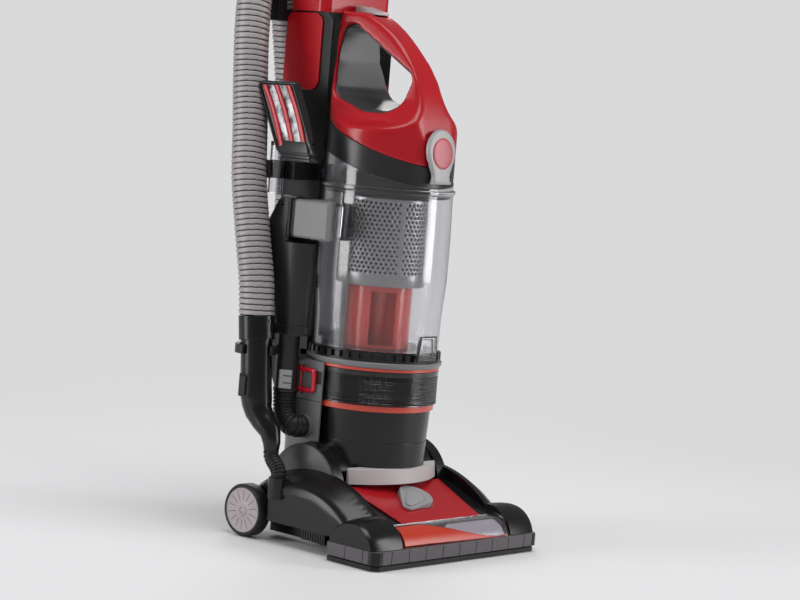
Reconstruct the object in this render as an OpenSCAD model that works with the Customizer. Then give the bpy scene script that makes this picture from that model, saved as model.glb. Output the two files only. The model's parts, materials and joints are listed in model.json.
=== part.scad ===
// Upright vacuum cleaner with a bagless dirt cup, a stretch hose and a height-adjusted foot.
// Millimetres. X is across the machine, -Y is its front and +Z is up.
// The origin is the middle of the sole plate's runner, on the floor.

/* [Foot] */
// Width across the front guard
guard_w = 325; // [318:1:332]
// Distance from the sole runner forward to the guard's front face
guard_reach = 95; // [93:0.5:97]
// Height of the guard strip's top edge
guard_top = 25; // [24:0.5:26]
// Thickness of the guard strip
guard_t = 7; // [6:0.5:8]
// Height of the brush axis above the floor
brush_z = 23; // [22.5:0.5:24]
// Distance from the sole runner forward to the brush axis
brush_reach = 52; // [51:0.5:53]
// Radius over the bristle tips
bristle_r = 22; // [20:0.5:22.5]
// Radius of the brush roll's core
brush_core_r = 15; // [13:0.5:16]
// Half the length of the brush roll's core
brush_half = 118; // [114:1:120]
// Radius of the rounded nozzle ends
dome_r = 44; // [43:0.5:44.5]
// Width of each rounded nozzle end
dome_w = 55; // [52:1:56]
// Thickness of the foot's moulded walls
wall = 3; // [2.4:0.2:3.4]
// Slope of the red deck panel, in degrees
deck_slope = 20; // [19:0.5:21]

/* [Wheels] */
// Radius of the rear wheels
wheel_r = 35; // [33:0.5:35]
// Width of the rear wheels
wheel_w = 21; // [19:0.5:22]
// Distance from the sole runner back to the rear axle
axle_y = 155; // [153:0.5:157]
// Radius of the rear axle pins
axle_r = 4; // [3:0.25:5]
// Radius of the front rollers
roller_r = 11; // [10:0.5:11]
// Radius of the roller rod and of the carriage pin
rod_r = 3; // [2.5:0.25:3.5]

/* [Recline joint] */
// Distance from the sole runner back to the recline axis
pivot_y = 92; // [91:0.5:93]
// Height of the recline axis
pivot_z = 81; // [80:0.5:82]
// Radius of the motor drum that turns between the ears
drum_r = 52; // [50:0.5:52]
// Radius of the pivot bosses
boss_r = 22; // [18:0.5:24]
// Radius of the ears and their covers
ear_r = 60; // [57:0.5:60]
// Height of the middle of the ears
ear_z = 72; // [70:0.5:74]

/* [Motor and belt] */
// Radius of the motor shaft
shaft_r = 5; // [4:0.25:6]
// Radius of the motor pulley
pulley_r = 8; // [7:0.5:9]
// Radius of the belt groove on the brush roll
groove_r = 12; // [11:0.5:13]
// Width of the drive belt
belt_w = 12; // [10:0.5:13]
// Distance of the belt's middle from the centre plane
belt_x = 66; // [65:0.5:67]

/* [Upright body] */
// Distance from the sole runner back to the body's vertical axis
axis_y = 84; // [83:0.5:85]
// Radius of the motor housing at its top
body_r = 81; // [79:0.5:82]
// Height of the deck that the dirt cup stands on
deck_z = 248; // [247:0.5:249]
// Radius of the deck ring
deck_r = 91; // [90.5:0.5:92]
// Half the width of the spine
spine_half = 60; // [58:0.5:61]
// Distance from the sole runner to the spine's back face
spine_back = 235; // [232:0.5:236]
// Height of the spine's top, where the hood begins
spine_top = 700; // [699:0.5:702]
// Thickness of the spine's walls
spine_wall = 4; // [3:0.25:5]

/* [Dirt cup] */
// Greatest radius of the clear dirt cup
cup_r = 88.8; // [87.5:0.2:89]
// Thickness of the clear wall
cup_wall = 2.5; // [2:0.25:3]
// Height of the rim that carries the lid
rim_z = 472; // [470:1:474]
// Radius of the perforated shroud
shroud_r = 60; // [56:1:62]
// Radius of the red cyclone body
cone_r = 44; // [40:1:46]
// Radius of the lid
lid_r = 86; // [85:0.5:86.5]
// Width of the carrying handle's arch
arch_w = 40; // [36:1:44]
// Height of the carrying handle's arch
arch_z = 704; // [702:0.5:706]

/* [Hose] */
// Outer radius of the stretch hose
hose_r = 22.5; // [21.5:0.25:22.75]
// Distance between two ribs of the hoses
rib_pitch = 8.4; // [8:0.2:10]
// Outer radius of the rigid hose tube
tube_r = 21; // [20:0.5:21.5]
// Outer radius of the ribbed boot over the foot's port
boot_r = 10; // [9:0.25:11]
// Distance of the hose tube from the centre plane
tube_x = 147; // [146:0.5:148]

/* [Handle] */
// Height of the top of the loop handle
total_h = 1095; // [1085:1:1105]
// Radius of the loop handle's grip
grip_r = 15; // [13:0.5:17]
// Radius of the loop's bends, to the middle of the grip
loop_r = 38; // [36:0.5:42]

/* [Clearances] */
// Gap between pieces that move past each other
gap = 0.3; // [0.2:0.05:0.4]
// Radial clearance of a pin or shaft in its bore
fit = 0.05; // [0.03:0.01:0.09]

/* [Hidden] */
$fn = 64;
fine = 96;

// Foot: derived places
brush_y = -brush_reach;
guard_in = guard_w / 2 - guard_t;
guard_y = -guard_reach;
guard_back = -9;
sole_z = 3;
sole_t = 3;
pan_z = sole_z + sole_t;
dome_x = guard_w / 2 - dome_w;
dome_y = -48;
dome_z = 16;
fender_in = dome_x - 0.5;
fender_out = 150;
fender_low = 28;
fender_back = 176;
fender_front = -45;
ridge_r = 164;
arch_r = ridge_r - 18;
ridge_y = 66;
ridge_top = 100;
ridge_z = ridge_top - ridge_r;
ridge_round = 5;
ear_in = 93;
ear_out = 110;
sole_side = dome_x - 3.5;
drum_left = ear_in - 1;
drum_right = belt_x - belt_w / 2 - 8;
yoke_in = belt_x + belt_w / 2 + 8;
deck_front_y = -60;
deck_front_z = 50;
deck_len = 96;
panel_t = 2.5;
window_r = 28;
window_y = -62;
window_z = 22;
wheel_out = 157;
wheel_in = wheel_out - wheel_w;
arm_out = wheel_in - 2;
wheel_front = 116;
port_y = 102;
port_z = 88;
port_r = 13;

// Front roller carriage
carriage_y = 64;
carriage_z = 14;
roller_y = 22;
roller_z = roller_r + gap;
roller_x = 61;
roller_half = 11;
knob_y = 54;
knob_r = 24;

// Pedal
pedal_y = 160;
pedal_z = 45;
pedal_x = fender_in - 11;

// Upright: derived places
motor_low = 98;
motor_top = 182;
skirt_top = 107;
filter_low = 190;
filter_top = 236;
rear_half = 91;
bay_r = deck_r + 0.5;
spine_front = 152;
spine_toe_y = 165.3;
hood_front = 163.3;
hood_back = 234;
hood_half = 65;
neck_y = 198;
neck_r = 16;
neck_half = 10;
loop_low_z = total_h - loop_r - grip_r - 66;
switch_z = total_h - 205;
hook_z = total_h - 245;
duct_x = -100;
duct_y = 150;
duct_r = 24;
duct_half = 16;
duct_low = 283;
duct_top = 455;
duct_foot_x = -107;
duct_foot_y = 142;
mouth_y = 146;
box_low = 402;
box_high = 452;
box_back = 132;
rear_port_z = 396;
rear_port_y = 262;
hose_bore = hose_r - 5.5;
neck_tool = [-118, 179];
neck_tool_r = 10;

// Cup: derived places
cup_z = deck_z + gap;
cup_floor = 262;
shroud_low = 345;
shroud_top = 465;
lid_low_z = 480;
lid_low_rise = 16;
lid_high_z = 507;
lid_high_rise = 20;
lid_front_y = axis_y - lid_r;
arc_r = 200.7;
arc_y = 202;
arc_z = 517;
flank_r = 60;
flank_lean = 14.5;
flank_toe = 14.25;
handle_back = 162.8;
liner_t = 2.6;

// Hose routes
stretch_route = [
    [-147, 166, 294.3], [-147, 171.5, 340], [-146, 186, 400], [-142.5, 204, 470],
    [-133, 220, 540], [-124, 236, 610], [-118, 246, 670], [-108, 254, 718],
    [-86, 261, 745], [-60, 265, 745], [-38, 266, 720], [-28, 265, 672],
    [-18, 263, 610], [-6, 262, 540], [0, 262, 470], [0, 262, 442], [0, 262, 396.3]
];
lower_r = 15;
lower_route = [
    [-107, 142, 194.2], [-107, 141.9, 186], [-108, 139, 170], [-110, 131, 157],
    [-108.5, 121.5, 151.8], [-102, 118.2, 151], [-95.2, 118, 151]
];
tube_route = [
    [119, 120.8], [119.3, 130], [123, 144], [136, 155.5], [148, 168], [155, 189],
    [158, 215], [161, 250], [165.4, 290]
];
boot_route = [
    [-147, 102, 88], [-147, 102.6, 94], [-147, 107, 101], [-147, 114, 107.5],
    [-147, 118.4, 114], [-147, 119, 120.2]
];

// ---------- helpers ----------
module both_sides() {
    children();
    mirror([1, 0, 0]) children();
}
module on_axis(z = 0) { translate([0, axis_y, z]) children(); }
module at_pivot() { translate([0, pivot_y, pivot_z]) children(); }
// A cylinder along X from x0 to x1, at the height and depth of its parent
module bar_x(x0, x1, r) { translate([x0, 0, 0]) rotate([0, 90, 0]) cylinder(r = r, h = x1 - x0); }
// A flat outline drawn as (y, z), drawn out along X
module side_cut(x0, x1) { translate([x0, 0, 0]) rotate([90, 0, 90]) linear_extrude(x1 - x0) children(); }
// A flat outline drawn as (x, z), drawn out along Y
module front_cut(y0, y1) { translate([0, y1, 0]) rotate([90, 0, 0]) linear_extrude(y1 - y0) children(); }
module block(low, high) { translate(low) cube(high - low); }
module stadium(r, half) {
    translate([0, -half]) circle(r);
    translate([0, half]) circle(r);
    translate([-r, -half]) square([2 * r, 2 * half]);
}
module round_box(x, y0, y1, r) {
    for (sx = [-1, 1], y = [y0 + r, y1 - r]) translate([sx * (x - r), y]) circle(r);
    translate([-x, y0 + r]) square([2 * x, y1 - y0 - 2 * r]);
    translate([-x + r, y0]) square([2 * x - 2 * r, y1 - y0]);
}
module deck_frame() { translate([0, deck_front_y, deck_front_z]) rotate([deck_slope, 0, 0]) children(); }

// ---------- swept tubes ----------
function unit(v) = v / norm(v);
// One point of a smooth curve through four points, between the middle two
function spline_point(a, b, c, d, t) =
    0.5 * ((2 * b) + (c - a) * t + (2 * a - 5 * b + 4 * c - d) * t * t
    + (3 * b - a - 3 * c + d) * t * t * t);
// Points along a route, about one step apart, always a whole number of steps to a stretch
function along(route, step) = [
    for (i = [0 : len(route) - 2])
        let (
            a = route[max(i - 1, 0)], b = route[i], c = route[i + 1],
            d = route[min(i + 2, len(route) - 1)], n = max(1, round(norm(c - b) / step))
        )
        for (k = [0 : n - 1]) spline_point(a, b, c, d, k / n),
    route[len(route) - 1]
];
function tangent(p, i) =
    i == 0 ? unit(p[1] - p[0]) :
    i == len(p) - 1 ? unit(p[i] - p[i - 1]) : unit(p[i + 1] - p[i - 1]);
function ring(centre, t, across, r, sides) =
    let (a = unit(cross(t, across)), b = cross(t, a))
    [for (k = [0 : sides - 1]) centre + r * (cos(360 * k / sides) * a + sin(360 * k / sides) * b)];
// Two triangles for each side between ring i and ring j; flip turns them inside out
function skin(i, j, sides, flip) = [
    for (k = [0 : sides - 1])
        let (n = (k + 1) % sides, a = i * sides, b = j * sides)
        for (f = flip ? [[a + k, b + n, b + k], [a + k, a + n, b + n]]
                      : [[a + k, b + k, b + n], [a + k, b + n, a + n]]) f
];
// A closed tube with a bore. outer and inner are lists of rings
module tube_skin(outer, inner, sides) {
    no = len(outer);
    ni = len(inner);
    points = [for (r = outer) for (p = r) p, for (r = inner) for (p = r) p];
    faces = [
        for (i = [0 : no - 2]) for (f = skin(i, i + 1, sides, false)) f,
        for (i = [0 : ni - 2]) for (f = skin(no + i, no + i + 1, sides, true)) f,
        for (f = skin(0, no, sides, true)) f,
        for (f = skin(no - 1, no + ni - 1, sides, false)) f
    ];
    polyhedron(points, faces, convexity = 10);
}
// A ribbed hose: a crest and a hollow for each rib outside, one ring for each rib in the bore
module ribbed_hose(route, r, depth, bore, across, pitch) {
    sides = 8;
    outline = along(route, pitch / 2);
    n = len(outline);
    outer = [
        for (i = [0 : n - 1])
            ring(outline[i], tangent(outline, i), across, i % 2 == 0 ? r : r - depth, sides)
    ];
    inner = [
        for (i = [0 : n - 1]) if (i % 2 == 0 || i == n - 1)
            ring(outline[i], tangent(outline, i), across, bore, sides)
    ];
    tube_skin(outer, inner, sides);
}

// ---------- foot ----------
module guard_plan(inset) {
    side = guard_w / 2 - inset;
    front = guard_y + inset;
    corner = 8;
    polygon([
        [-side, guard_back], [-side, front + corner], [-side + corner, front],
        [side - corner, front], [side, front + corner], [side, guard_back]
    ]);
}
// Everything inside the guard, up to its top edge: the housing stays out of the guard's band
module guard_band(low, high) {
    translate([0, 0, low]) linear_extrude(high - low) difference() {
        guard_plan(-5);
        translate([-guard_in + gap, guard_y + guard_t + gap]) square([2 * guard_in - 2 * gap, 400]);
    }
}
module sole_plate() {
    lip = 1.5;
    slot_in = roller_x - roller_half - 8;
    slot_out = roller_x + roller_half + 2;
    color([0.07, 0.07, 0.08]) difference() {
        union() {
            block([-guard_in + gap, guard_y + guard_t + gap, sole_z], [guard_in - gap, guard_back, pan_z]);
            block([-sole_side, guard_back - 1, sole_z], [sole_side, carriage_y + 11, pan_z]);
            block([-100, -6, 0], [100, 6, pan_z]);
            difference() {
                translate([0, 0, 1]) linear_extrude(pan_z - 1) guard_plan(lip);
                block([-guard_in + 1, guard_y + guard_t + 1, 0], [guard_in - 1, 0, 9]);
            }
            both_sides() block([76, carriage_y - 7, sole_z], [82, carriage_y + 7, carriage_z + 7]);
        }
        block(
            [-brush_half, brush_y - bristle_r - 1.5, -1],
            [brush_half, brush_y + bristle_r + 1.5, 9]
        );
        // notches for the rollers and the carriage's arms, open to the back
        both_sides() block([slot_in, roller_y - roller_r - 3, -1], [slot_out, carriage_y + 20, 12]);
        translate([0, carriage_y, carriage_z]) bar_x(-90, 90, rod_r + fit);
    }
}
// The wheel cover's solid: highest beside the ear, falling outward to a rounded edge
module fender_round(grow) {
    x0 = fender_in - grow;
    x1 = fender_out + grow;
    c = ridge_round;
    translate([0, ridge_y, ridge_z]) rotate([0, 90, 0]) rotate_extrude($fn = fine) {
        polygon([
            [40, x0], [ridge_r + grow, x0], [ridge_r + grow, ear_out + 5],
            [arch_r + c + grow, x1 - 2 * c], [arch_r + grow, x1 - c / 2],
            [arch_r - c + grow, x1], [40, x1]
        ]);
    }
}
module fender() {
    difference() {
        union() {
            intersection() {
                difference() {
                    fender_round(0);
                    intersection() {
                        fender_round(-wall);
                        block([0, brush_y, -9], [200, fender_back - wall, 200]);
                    }
                }
                block([0, fender_front, fender_low], [200, fender_back, 200]);
            }
            translate([0, axle_y, wheel_r]) bar_x(fender_in, arm_out, 2 * axle_r + 1);
            intersection() {
                fender_round(0);
                union() {
                    block([arm_out - wall, wheel_front - wall, fender_low], [arm_out, fender_back, 100]);
                    block([arm_out - wall, wheel_front - wall, fender_low], [fender_out, wheel_front, 100]);
                }
            }
            // ribbed strip under the side's edge
            difference() {
                block([137, 10, 15], [147.5, 52, fender_low + wall]);
                for (k = [0 : 8]) block([146.1, 12 + k * 4.5, 14], [149, 13.6 + k * 4.5, fender_low - 1]);
            }
        }
        // recess along the side, under the rounded arch
        difference() {
            translate([0, ridge_y, ridge_z]) bar_x(fender_out - 1.2, fender_out + 9, arch_r - 14);
            block([0, -200, -200], [200, guard_back - 20, 400]);
        }
        block([arm_out, wheel_front, -9], [200, 250, 200]);
        translate([0, axle_y, wheel_r]) bar_x(fender_in + 4, 200, axle_r + fit);
    }
}
module ear() {
    difference() {
        union() {
            translate([0, pivot_y, ear_z]) bar_x(ear_in, ear_out, ear_r);
            block([ear_in, pivot_y - 56, pan_z], [fender_in + 1, pivot_y + 56, 40]);
        }
        at_pivot() bar_x(0, ear_out - 1, boss_r + fit);
    }
}
module nozzle_end() {
    end = guard_w / 2 - 0.5;
    difference() {
        translate([0, dome_y, dome_z]) rotate([0, 90, 0]) rotate_extrude($fn = fine) difference() {
            polygon([
                [0, dome_x], [dome_r, dome_x], [dome_r, dome_x + 20], [dome_r - 1, end - 18],
                [dome_r - 2.4, end - 8], [dome_r - 4, end - 2.5], [dome_r - 6, end], [0, end]
            ]);
            polygon([
                [0, dome_x + wall], [dome_r - wall, dome_x + wall], [dome_r - wall, dome_x + 20],
                [dome_r - 9, end - wall], [0, end - wall]
            ]);
        }
        block([0, -200, -50], [200, 200, pan_z + gap / 2]);
        translate([0, brush_y, brush_z]) bar_x(0, dome_x + 9, bristle_r + 2);
    }
}
module foot_housing() {
    color([0.05, 0.05, 0.055]) difference() {
        union() {
            both_sides() {
                fender();
                ear();
                nozzle_end();
                side_cut(dome_x - 3, dome_x + 1) polygon([
                    [guard_y + 11, pan_z], [guard_y + 11, guard_top], [-76, 36], [-64, 43.5],
                    [28, 76], [28, pan_z]
                ]);
            }
            // deck under the red panel
            deck_frame() block([-dome_x, 3, -panel_t - wall - 0.2], [dome_x, deck_len - 2, -panel_t - 0.2]);
            // rear wall of the brush chamber
            side_cut(-dome_x, dome_x) polygon([[-26, pan_z], [-26, 56.5], [-23, 57.5], [-23, pan_z]]);
            // front wall behind the guard
            block(
                [-guard_in + 1, guard_y + guard_t - 1, pan_z],
                [guard_in - 1, guard_y + guard_t + 3, guard_top - 1]
            );
            // port that takes the hose boot
            translate([-tube_x, port_y, 0]) difference() {
                translate([0, 0, 60]) cylinder(r = port_r, h = port_z - 60.5);
                translate([0, 0, 62]) cylinder(r = boot_r - 2.5, h = 40);
            }
        }
        guard_band(0, guard_top + gap);
        // slot for the belt
        block([belt_x - belt_w / 2 - 2, -30, pan_z + 1], [belt_x + belt_w / 2 + 2, -20, 54]);
        // knob hole through the deck
        deck_frame() translate([0, knob_y, -20]) cylinder(r = 6 + fit, h = 40);
        // pedal pin
        translate([0, pedal_y, pedal_z]) bar_x(90, fender_in + 9, rod_r + fit);
        both_sides() {
            // round ends of the brush chamber and the bores of the recline bosses
            translate([0, brush_y, brush_z]) bar_x(dome_x - 4, dome_x + 4, bristle_r + 2);
            at_pivot() bar_x(0, ear_out - 1, boss_r + fit);
        }
    }
}
module guard_strip() {
    groove = 1;
    color([0.36, 0.36, 0.38]) difference() {
        translate([0, 0, 8]) linear_extrude(guard_top - 8) difference() {
            guard_plan(0);
            translate([-guard_in, guard_y + guard_t]) square([2 * guard_in, 200]);
        }
        for (i = [-4 : 4]) block(
            [i * 33 - 0.6, guard_y - 1, 0],
            [i * 33 + 0.6, guard_y + groove, 40]
        );
        both_sides() for (y = [-72, -41]) block(
            [guard_w / 2 - groove, y - 0.6, 0],
            [guard_w / 2 + 1, y + 0.6, 40]
        );
    }
}
module top_panel() {
    color([0.75, 0.05, 0.06]) deck_frame() difference() {
        translate([0, 0, -panel_t]) linear_extrude(panel_t) polygon([
            [-76, 0], [76, 0], [91, deck_len], [-91, deck_len]
        ]);
        translate([0, knob_y, -5]) cylinder(r = 6 + fit, h = 10);
        translate([0, knob_y, -1.2]) cylinder(r = knob_r + 3, h = 10);
    }
}
module nozzle_window() {
    color([0.62, 0.62, 0.66, 0.6]) difference() {
        translate([0, window_y, window_z]) bar_x(-dome_x + 0.3, dome_x - 0.3, window_r);
        translate([0, window_y, window_z]) bar_x(-dome_x - 1, dome_x + 1, window_r - panel_t);
        block([-200, -200, -50], [200, 200, guard_top + gap]);
        block([-200, deck_front_y - gap, -50], [200, 200, 200]);
        both_sides() block([dome_x - 3.2, -200, 0], [dome_x + 5, 200, 42]);
    }
}
module trunnion_covers() {
    r = ear_r - 0.6;
    color([0.45, 0.45, 0.47]) both_sides() difference() {
        translate([0, pivot_y, ear_z]) rotate([0, 90, 0]) translate([0, 0, ear_out + 0.1])
            rotate_extrude($fn = fine) polygon([[0, 0], [r, 0], [r, 1.6], [r - 1.6, 2.6], [0, 3.4]]);
        translate([0, ridge_y, ridge_z]) bar_x(0, 200, ridge_r + gap);
    }
}
module foot_pins() {
    color([0.7, 0.7, 0.72]) {
        both_sides() translate([0, axle_y, wheel_r]) bar_x(fender_in + 5, wheel_out - 5, axle_r);
        translate([0, carriage_y, carriage_z]) bar_x(-82, 82, rod_r);
        translate([0, pedal_y, pedal_z]) bar_x(pedal_x - 1, fender_in + 2.5, rod_r);
    }
}
module brush_bearings() {
    color([0.2, 0.2, 0.21]) both_sides() difference() {
        block([brush_half + gap, brush_y - 14, pan_z], [brush_half + 13, brush_y + 14, brush_z + 14]);
        translate([0, brush_y, brush_z]) bar_x(0, brush_half + 10, shaft_r + fit);
    }
}
// Outline round two pulleys: the arcs and the two straight runs of a belt
module belt_outline(grow) {
    a = [pivot_y, pivot_z];
    b = [brush_y, brush_z];
    ra = pulley_r + grow;
    rb = groove_r + grow;
    reach = norm(b - a);
    along_a = atan2(b[1] - a[1], b[0] - a[0]);
    lean = acos((ra - rb) / reach);
    near = [for (k = [0 : 18]) let (t = along_a + lean + k * (360 - 2 * lean) / 18) a + ra * [cos(t), sin(t)]];
    far = [for (k = [0 : 24]) let (t = along_a - lean + k * 2 * lean / 24) b + rb * [cos(t), sin(t)]];
    polygon(concat(near, far));
}
module drive_belt() {
    color([0.12, 0.12, 0.12]) side_cut(belt_x - belt_w / 2, belt_x + belt_w / 2) difference() {
        belt_outline(gap + 2.5);
        belt_outline(gap);
    }
}
module hose_boot() {
    color([0.09, 0.09, 0.1]) ribbed_hose(boot_route, boot_r, 1.6, boot_r - 3.4, [1, 0, 0], 5);
}

// ---------- brush roll ----------
module brush_core() {
    half_belt = belt_w / 2 + 1.5;
    color([0.5, 0.08, 0.08]) translate([0, brush_y, brush_z]) difference() {
        union() {
            bar_x(-brush_half, brush_half, brush_core_r);
            bar_x(-brush_half - 9, brush_half + 9, shaft_r);
            bar_x(belt_x - half_belt - 2, belt_x + half_belt + 2, brush_core_r + 1.5);
        }
        difference() {
            bar_x(belt_x - half_belt, belt_x + half_belt, brush_core_r + 5);
            bar_x(belt_x - half_belt - 1, belt_x + half_belt + 1, groove_r);
        }
    }
}
module brush_bristles() {
    turn = 300;
    color([0.1, 0.1, 0.1]) translate([0, brush_y, brush_z])
        for (start = [0, 180], i = [0 : 25]) let (x = -brush_half + 6 + i * (2 * brush_half - 12) / 25)
            if (abs(x - belt_x) > belt_w / 2 + 7)
                translate([x, 0, 0]) rotate([start + turn * i / 25, 0, 0])
                    translate([0, 0, brush_core_r]) cylinder(r = 2.4, h = bristle_r - brush_core_r);
}

// ---------- wheels ----------
module wheel_hub() {
    color([0.62, 0.61, 0.6]) translate([0, axle_y, wheel_r]) difference() {
        union() {
            bar_x(wheel_in + 2, wheel_out - 1, wheel_r - 5);
            bar_x(wheel_in, wheel_out, 2 * axle_r + 2);
        }
        bar_x(0, wheel_out - 4, axle_r + fit);
        for (k = [0 : 11]) rotate([k * 30, 0, 0])
            block([wheel_out - 2, 1.2 * axle_r + 14, -0.7], [wheel_out + 1, wheel_r - 8, 0.7]);
        difference() {
            bar_x(wheel_in - 1, wheel_in + 8, wheel_r - 9);
            bar_x(wheel_in - 2, wheel_in + 9, 2 * axle_r + 2);
        }
    }
}
module wheel_tyre() {
    color([0.04, 0.04, 0.045]) translate([0, axle_y, wheel_r]) rotate([0, 90, 0])
        rotate_extrude($fn = fine) polygon([
            [wheel_r - 4.95, wheel_in], [wheel_r - 2, wheel_in], [wheel_r, wheel_in + 3],
            [wheel_r, wheel_out - 3], [wheel_r - 2, wheel_out], [wheel_r - 4.95, wheel_out]
        ]);
}
module wheel_hub_left() { mirror([1, 0, 0]) wheel_hub(); }
module wheel_tyre_left() { mirror([1, 0, 0]) wheel_tyre(); }
module wheel_hub_right() { wheel_hub(); }
module wheel_tyre_right() { wheel_tyre(); }
module roller_carriage() {
    arm_in = roller_x - roller_half - 6;
    color([0.1, 0.1, 0.11]) difference() {
        union() {
            translate([0, carriage_y, carriage_z]) bar_x(-75, 75, rod_r + 2.5);
            both_sides() {
                block([arm_in, roller_y, roller_z - 4], [arm_in + 5, carriage_y, carriage_z + 3]);
                translate([0, roller_y, roller_z]) bar_x(arm_in, arm_in + 5, 6);
            }
            block([-arm_in, 34, carriage_z + 1.5], [arm_in, 44, carriage_z + 5]);
            // post that the knob's cam bears on
            side_cut(-5, 5) polygon([
                [34, carriage_z + 1.5], [44, carriage_z + 1.5], [44, 20],
                [5, 51], [-4, 52.8], [-6, 49]
            ]);
        }
        translate([0, carriage_y, carriage_z]) bar_x(-90, 90, rod_r + fit);
        translate([0, roller_y, roller_z]) bar_x(-90, 90, rod_r + fit);
    }
}
module front_rollers() {
    color([0.16, 0.16, 0.17]) translate([0, roller_y, roller_z]) both_sides() {
        bar_x(roller_x - roller_half - 6.5, roller_x, rod_r);
        bar_x(roller_x - roller_half, roller_x + roller_half, roller_r);
    }
}
module height_knob() {
    color([0.52, 0.52, 0.54]) deck_frame() translate([0, knob_y, 0]) {
        translate([0, 0, -14]) cylinder(r = 6, h = 15);
        translate([0, 0, -16]) cylinder(r = 11, h = 6);
        translate([0, 0, -0.9]) cylinder(r = knob_r, h = 4);
        // pointer leaf, with the raised ridge that the foot pushes
        hull() {
            translate([0, 0, 1]) cylinder(r = knob_r - 0.5, h = 5.4, $fn = 32);
            translate([-34, -20, 1]) cylinder(r = 8, h = 3, $fn = 24);
        }
        hull() {
            translate([-5, -4, 5]) cylinder(r = 13, h = 3, $fn = 32);
            translate([-7, -8, 5]) cylinder(r = 6, h = 6.6, $fn = 24);
            translate([-33, -20, 3]) cylinder(r = 5, h = 4, $fn = 24);
        }
    }
}
module recline_pedal() {
    color([0.3, 0.3, 0.32]) difference() {
        union() {
            translate([0, pedal_y, pedal_z]) bar_x(pedal_x, pedal_x + 9, 9);
            side_cut(pedal_x, pedal_x + 9) polygon([
                [pedal_y - 3, pedal_z + 7], [pedal_y + 3, pedal_z - 8],
                [pedal_y + 32, pedal_z + 4], [pedal_y + 32, pedal_z + 10]
            ]);
            side_cut(pedal_x, pedal_x + 9) polygon([
                [pedal_y - 7, pedal_z - 4], [pedal_y + 7, pedal_z + 5],
                [pedal_y + 1, pedal_z + 22], [pedal_y - 4, pedal_z + 22]
            ]);
            block([pedal_x - 2, pedal_y + 26, pedal_z + 4], [pedal_x + 34, pedal_y + 48, pedal_z + 10]);
        }
        translate([0, pedal_y, pedal_z]) bar_x(0, 200, rod_r + fit);
    }
}

// ---------- motor ----------
module motor_housing() {
    seam = 0.6;
    color([0.09, 0.09, 0.1]) difference() {
        union() {
            on_axis() rotate_extrude($fn = fine) polygon([
                [0, motor_low], [body_r - 3, motor_low], [body_r - 2, 139], [body_r - 2 - seam, 139],
                [body_r - 2 - seam, 141], [body_r - 2, 141], [body_r, motor_top], [0, motor_top]
            ]);
            at_pivot() bar_x(-drum_left, drum_right, drum_r);
            at_pivot() bar_x(yoke_in - 8, drum_left, drum_r);
            at_pivot() bar_x(-ear_out + 1.2, -drum_left + 1, boss_r);
            at_pivot() bar_x(drum_left - 1, ear_out - 1.2, boss_r);
        }
        // front of the skirt's seat
        block([-100, -50, 0], [100, 38, skirt_top + gap]);
        // room for the motor and the fan
        at_pivot() bar_x(-drum_left + wall, drum_right - 4, drum_r - wall - 1);
        at_pivot() bar_x(drum_right - 6, drum_right + 1, shaft_r + 6);
        // gap that the belt runs in
        block([drum_right, 0, 0], [yoke_in, 200, motor_low]);
        // air way up to the exhaust filter
        on_axis(120) cylinder(r = 30, h = motor_top);
        on_axis(motor_top - 26) cylinder(r = body_r - 8, h = 40);
    }
}
module front_apron() {
    color([0.66, 0.67, 0.69]) intersection() {
        translate([0, 150, 0]) rotate_extrude($fn = fine) polygon([
            [142, 86], [145.5, 86], [143.5, skirt_top - 1], [142.5, skirt_top], [90, skirt_top],
            [90, skirt_top - 3], [140, skirt_top - 3]
        ]);
        block([-86, 0, 80], [86, 37.5, 120]);
    }
}
module rear_body() {
    color([0.55, 0.56, 0.58]) difference() {
        union() {
            translate([0, 0, 100]) linear_extrude(140) round_box(rear_half, 60, 165, 26);
            translate([0, 118, 151]) bar_x(-rear_half - 3.6, -rear_half + 5, lower_r + 1.6);
            for (z = [191, 235]) translate([-rear_half + 1, 127, z - 2.5]) translate([-6, -4, 0]) cube([7, 8, 5]);
        }
        on_axis(50) cylinder(r = 88.5, h = 250);
        block([-200, 0, 0], [200, 90, 400]);
        at_pivot() bar_x(-200, 200, drum_r + gap);
        translate([0, 0, 104]) linear_extrude(132) difference() {
            round_box(rear_half - wall, 60, 162, 23);
            translate([0, axis_y]) circle(91.5);
        }
        translate([0, 118, 151]) bar_x(-200, -rear_half + 6, lower_r - 4);
        translate([-94, 127, 180]) cylinder(r = 1.5 + fit, h = 64);
    }
}
module motor_can() {
    color([0.5, 0.5, 0.52]) at_pivot() rotate([0, 90, 0]) rotate_extrude($fn = fine) polygon([
        [shaft_r + 6, -62], [30, -62], [42, -54], [drum_r - wall - 1.3, -54], [drum_r - wall - 1.3, -50],
        [42, -50], [42, drum_right - 6], [36, drum_right - 6],
        [36, drum_right - 10], [30, drum_right - 10], [30, -50], [shaft_r + 6, -56]
    ]);
}
module shaft_bearings() {
    color([0.75, 0.75, 0.77]) at_pivot() for (x = [-62, drum_right - 5.5]) difference() {
        bar_x(x, x + 5.5, shaft_r + 6 - 0.02);
        bar_x(x - 1, x + 7, shaft_r + fit);
    }
}
module armature() {
    color([0.6, 0.4, 0.25]) at_pivot() {
        bar_x(-78, belt_x + belt_w / 2 + 3, shaft_r);
        bar_x(-44, drum_right - 22, 24);
        bar_x(drum_right - 20, drum_right - 12, 13);
        difference() {
            bar_x(belt_x - belt_w / 2 - 2.5, belt_x + belt_w / 2 + 2.5, pulley_r + 3);
            difference() {
                bar_x(belt_x - belt_w / 2 - gap, belt_x + belt_w / 2 + gap, pulley_r + 9);
                bar_x(belt_x - belt_w, belt_x + belt_w, pulley_r);
            }
        }
    }
}
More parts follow.
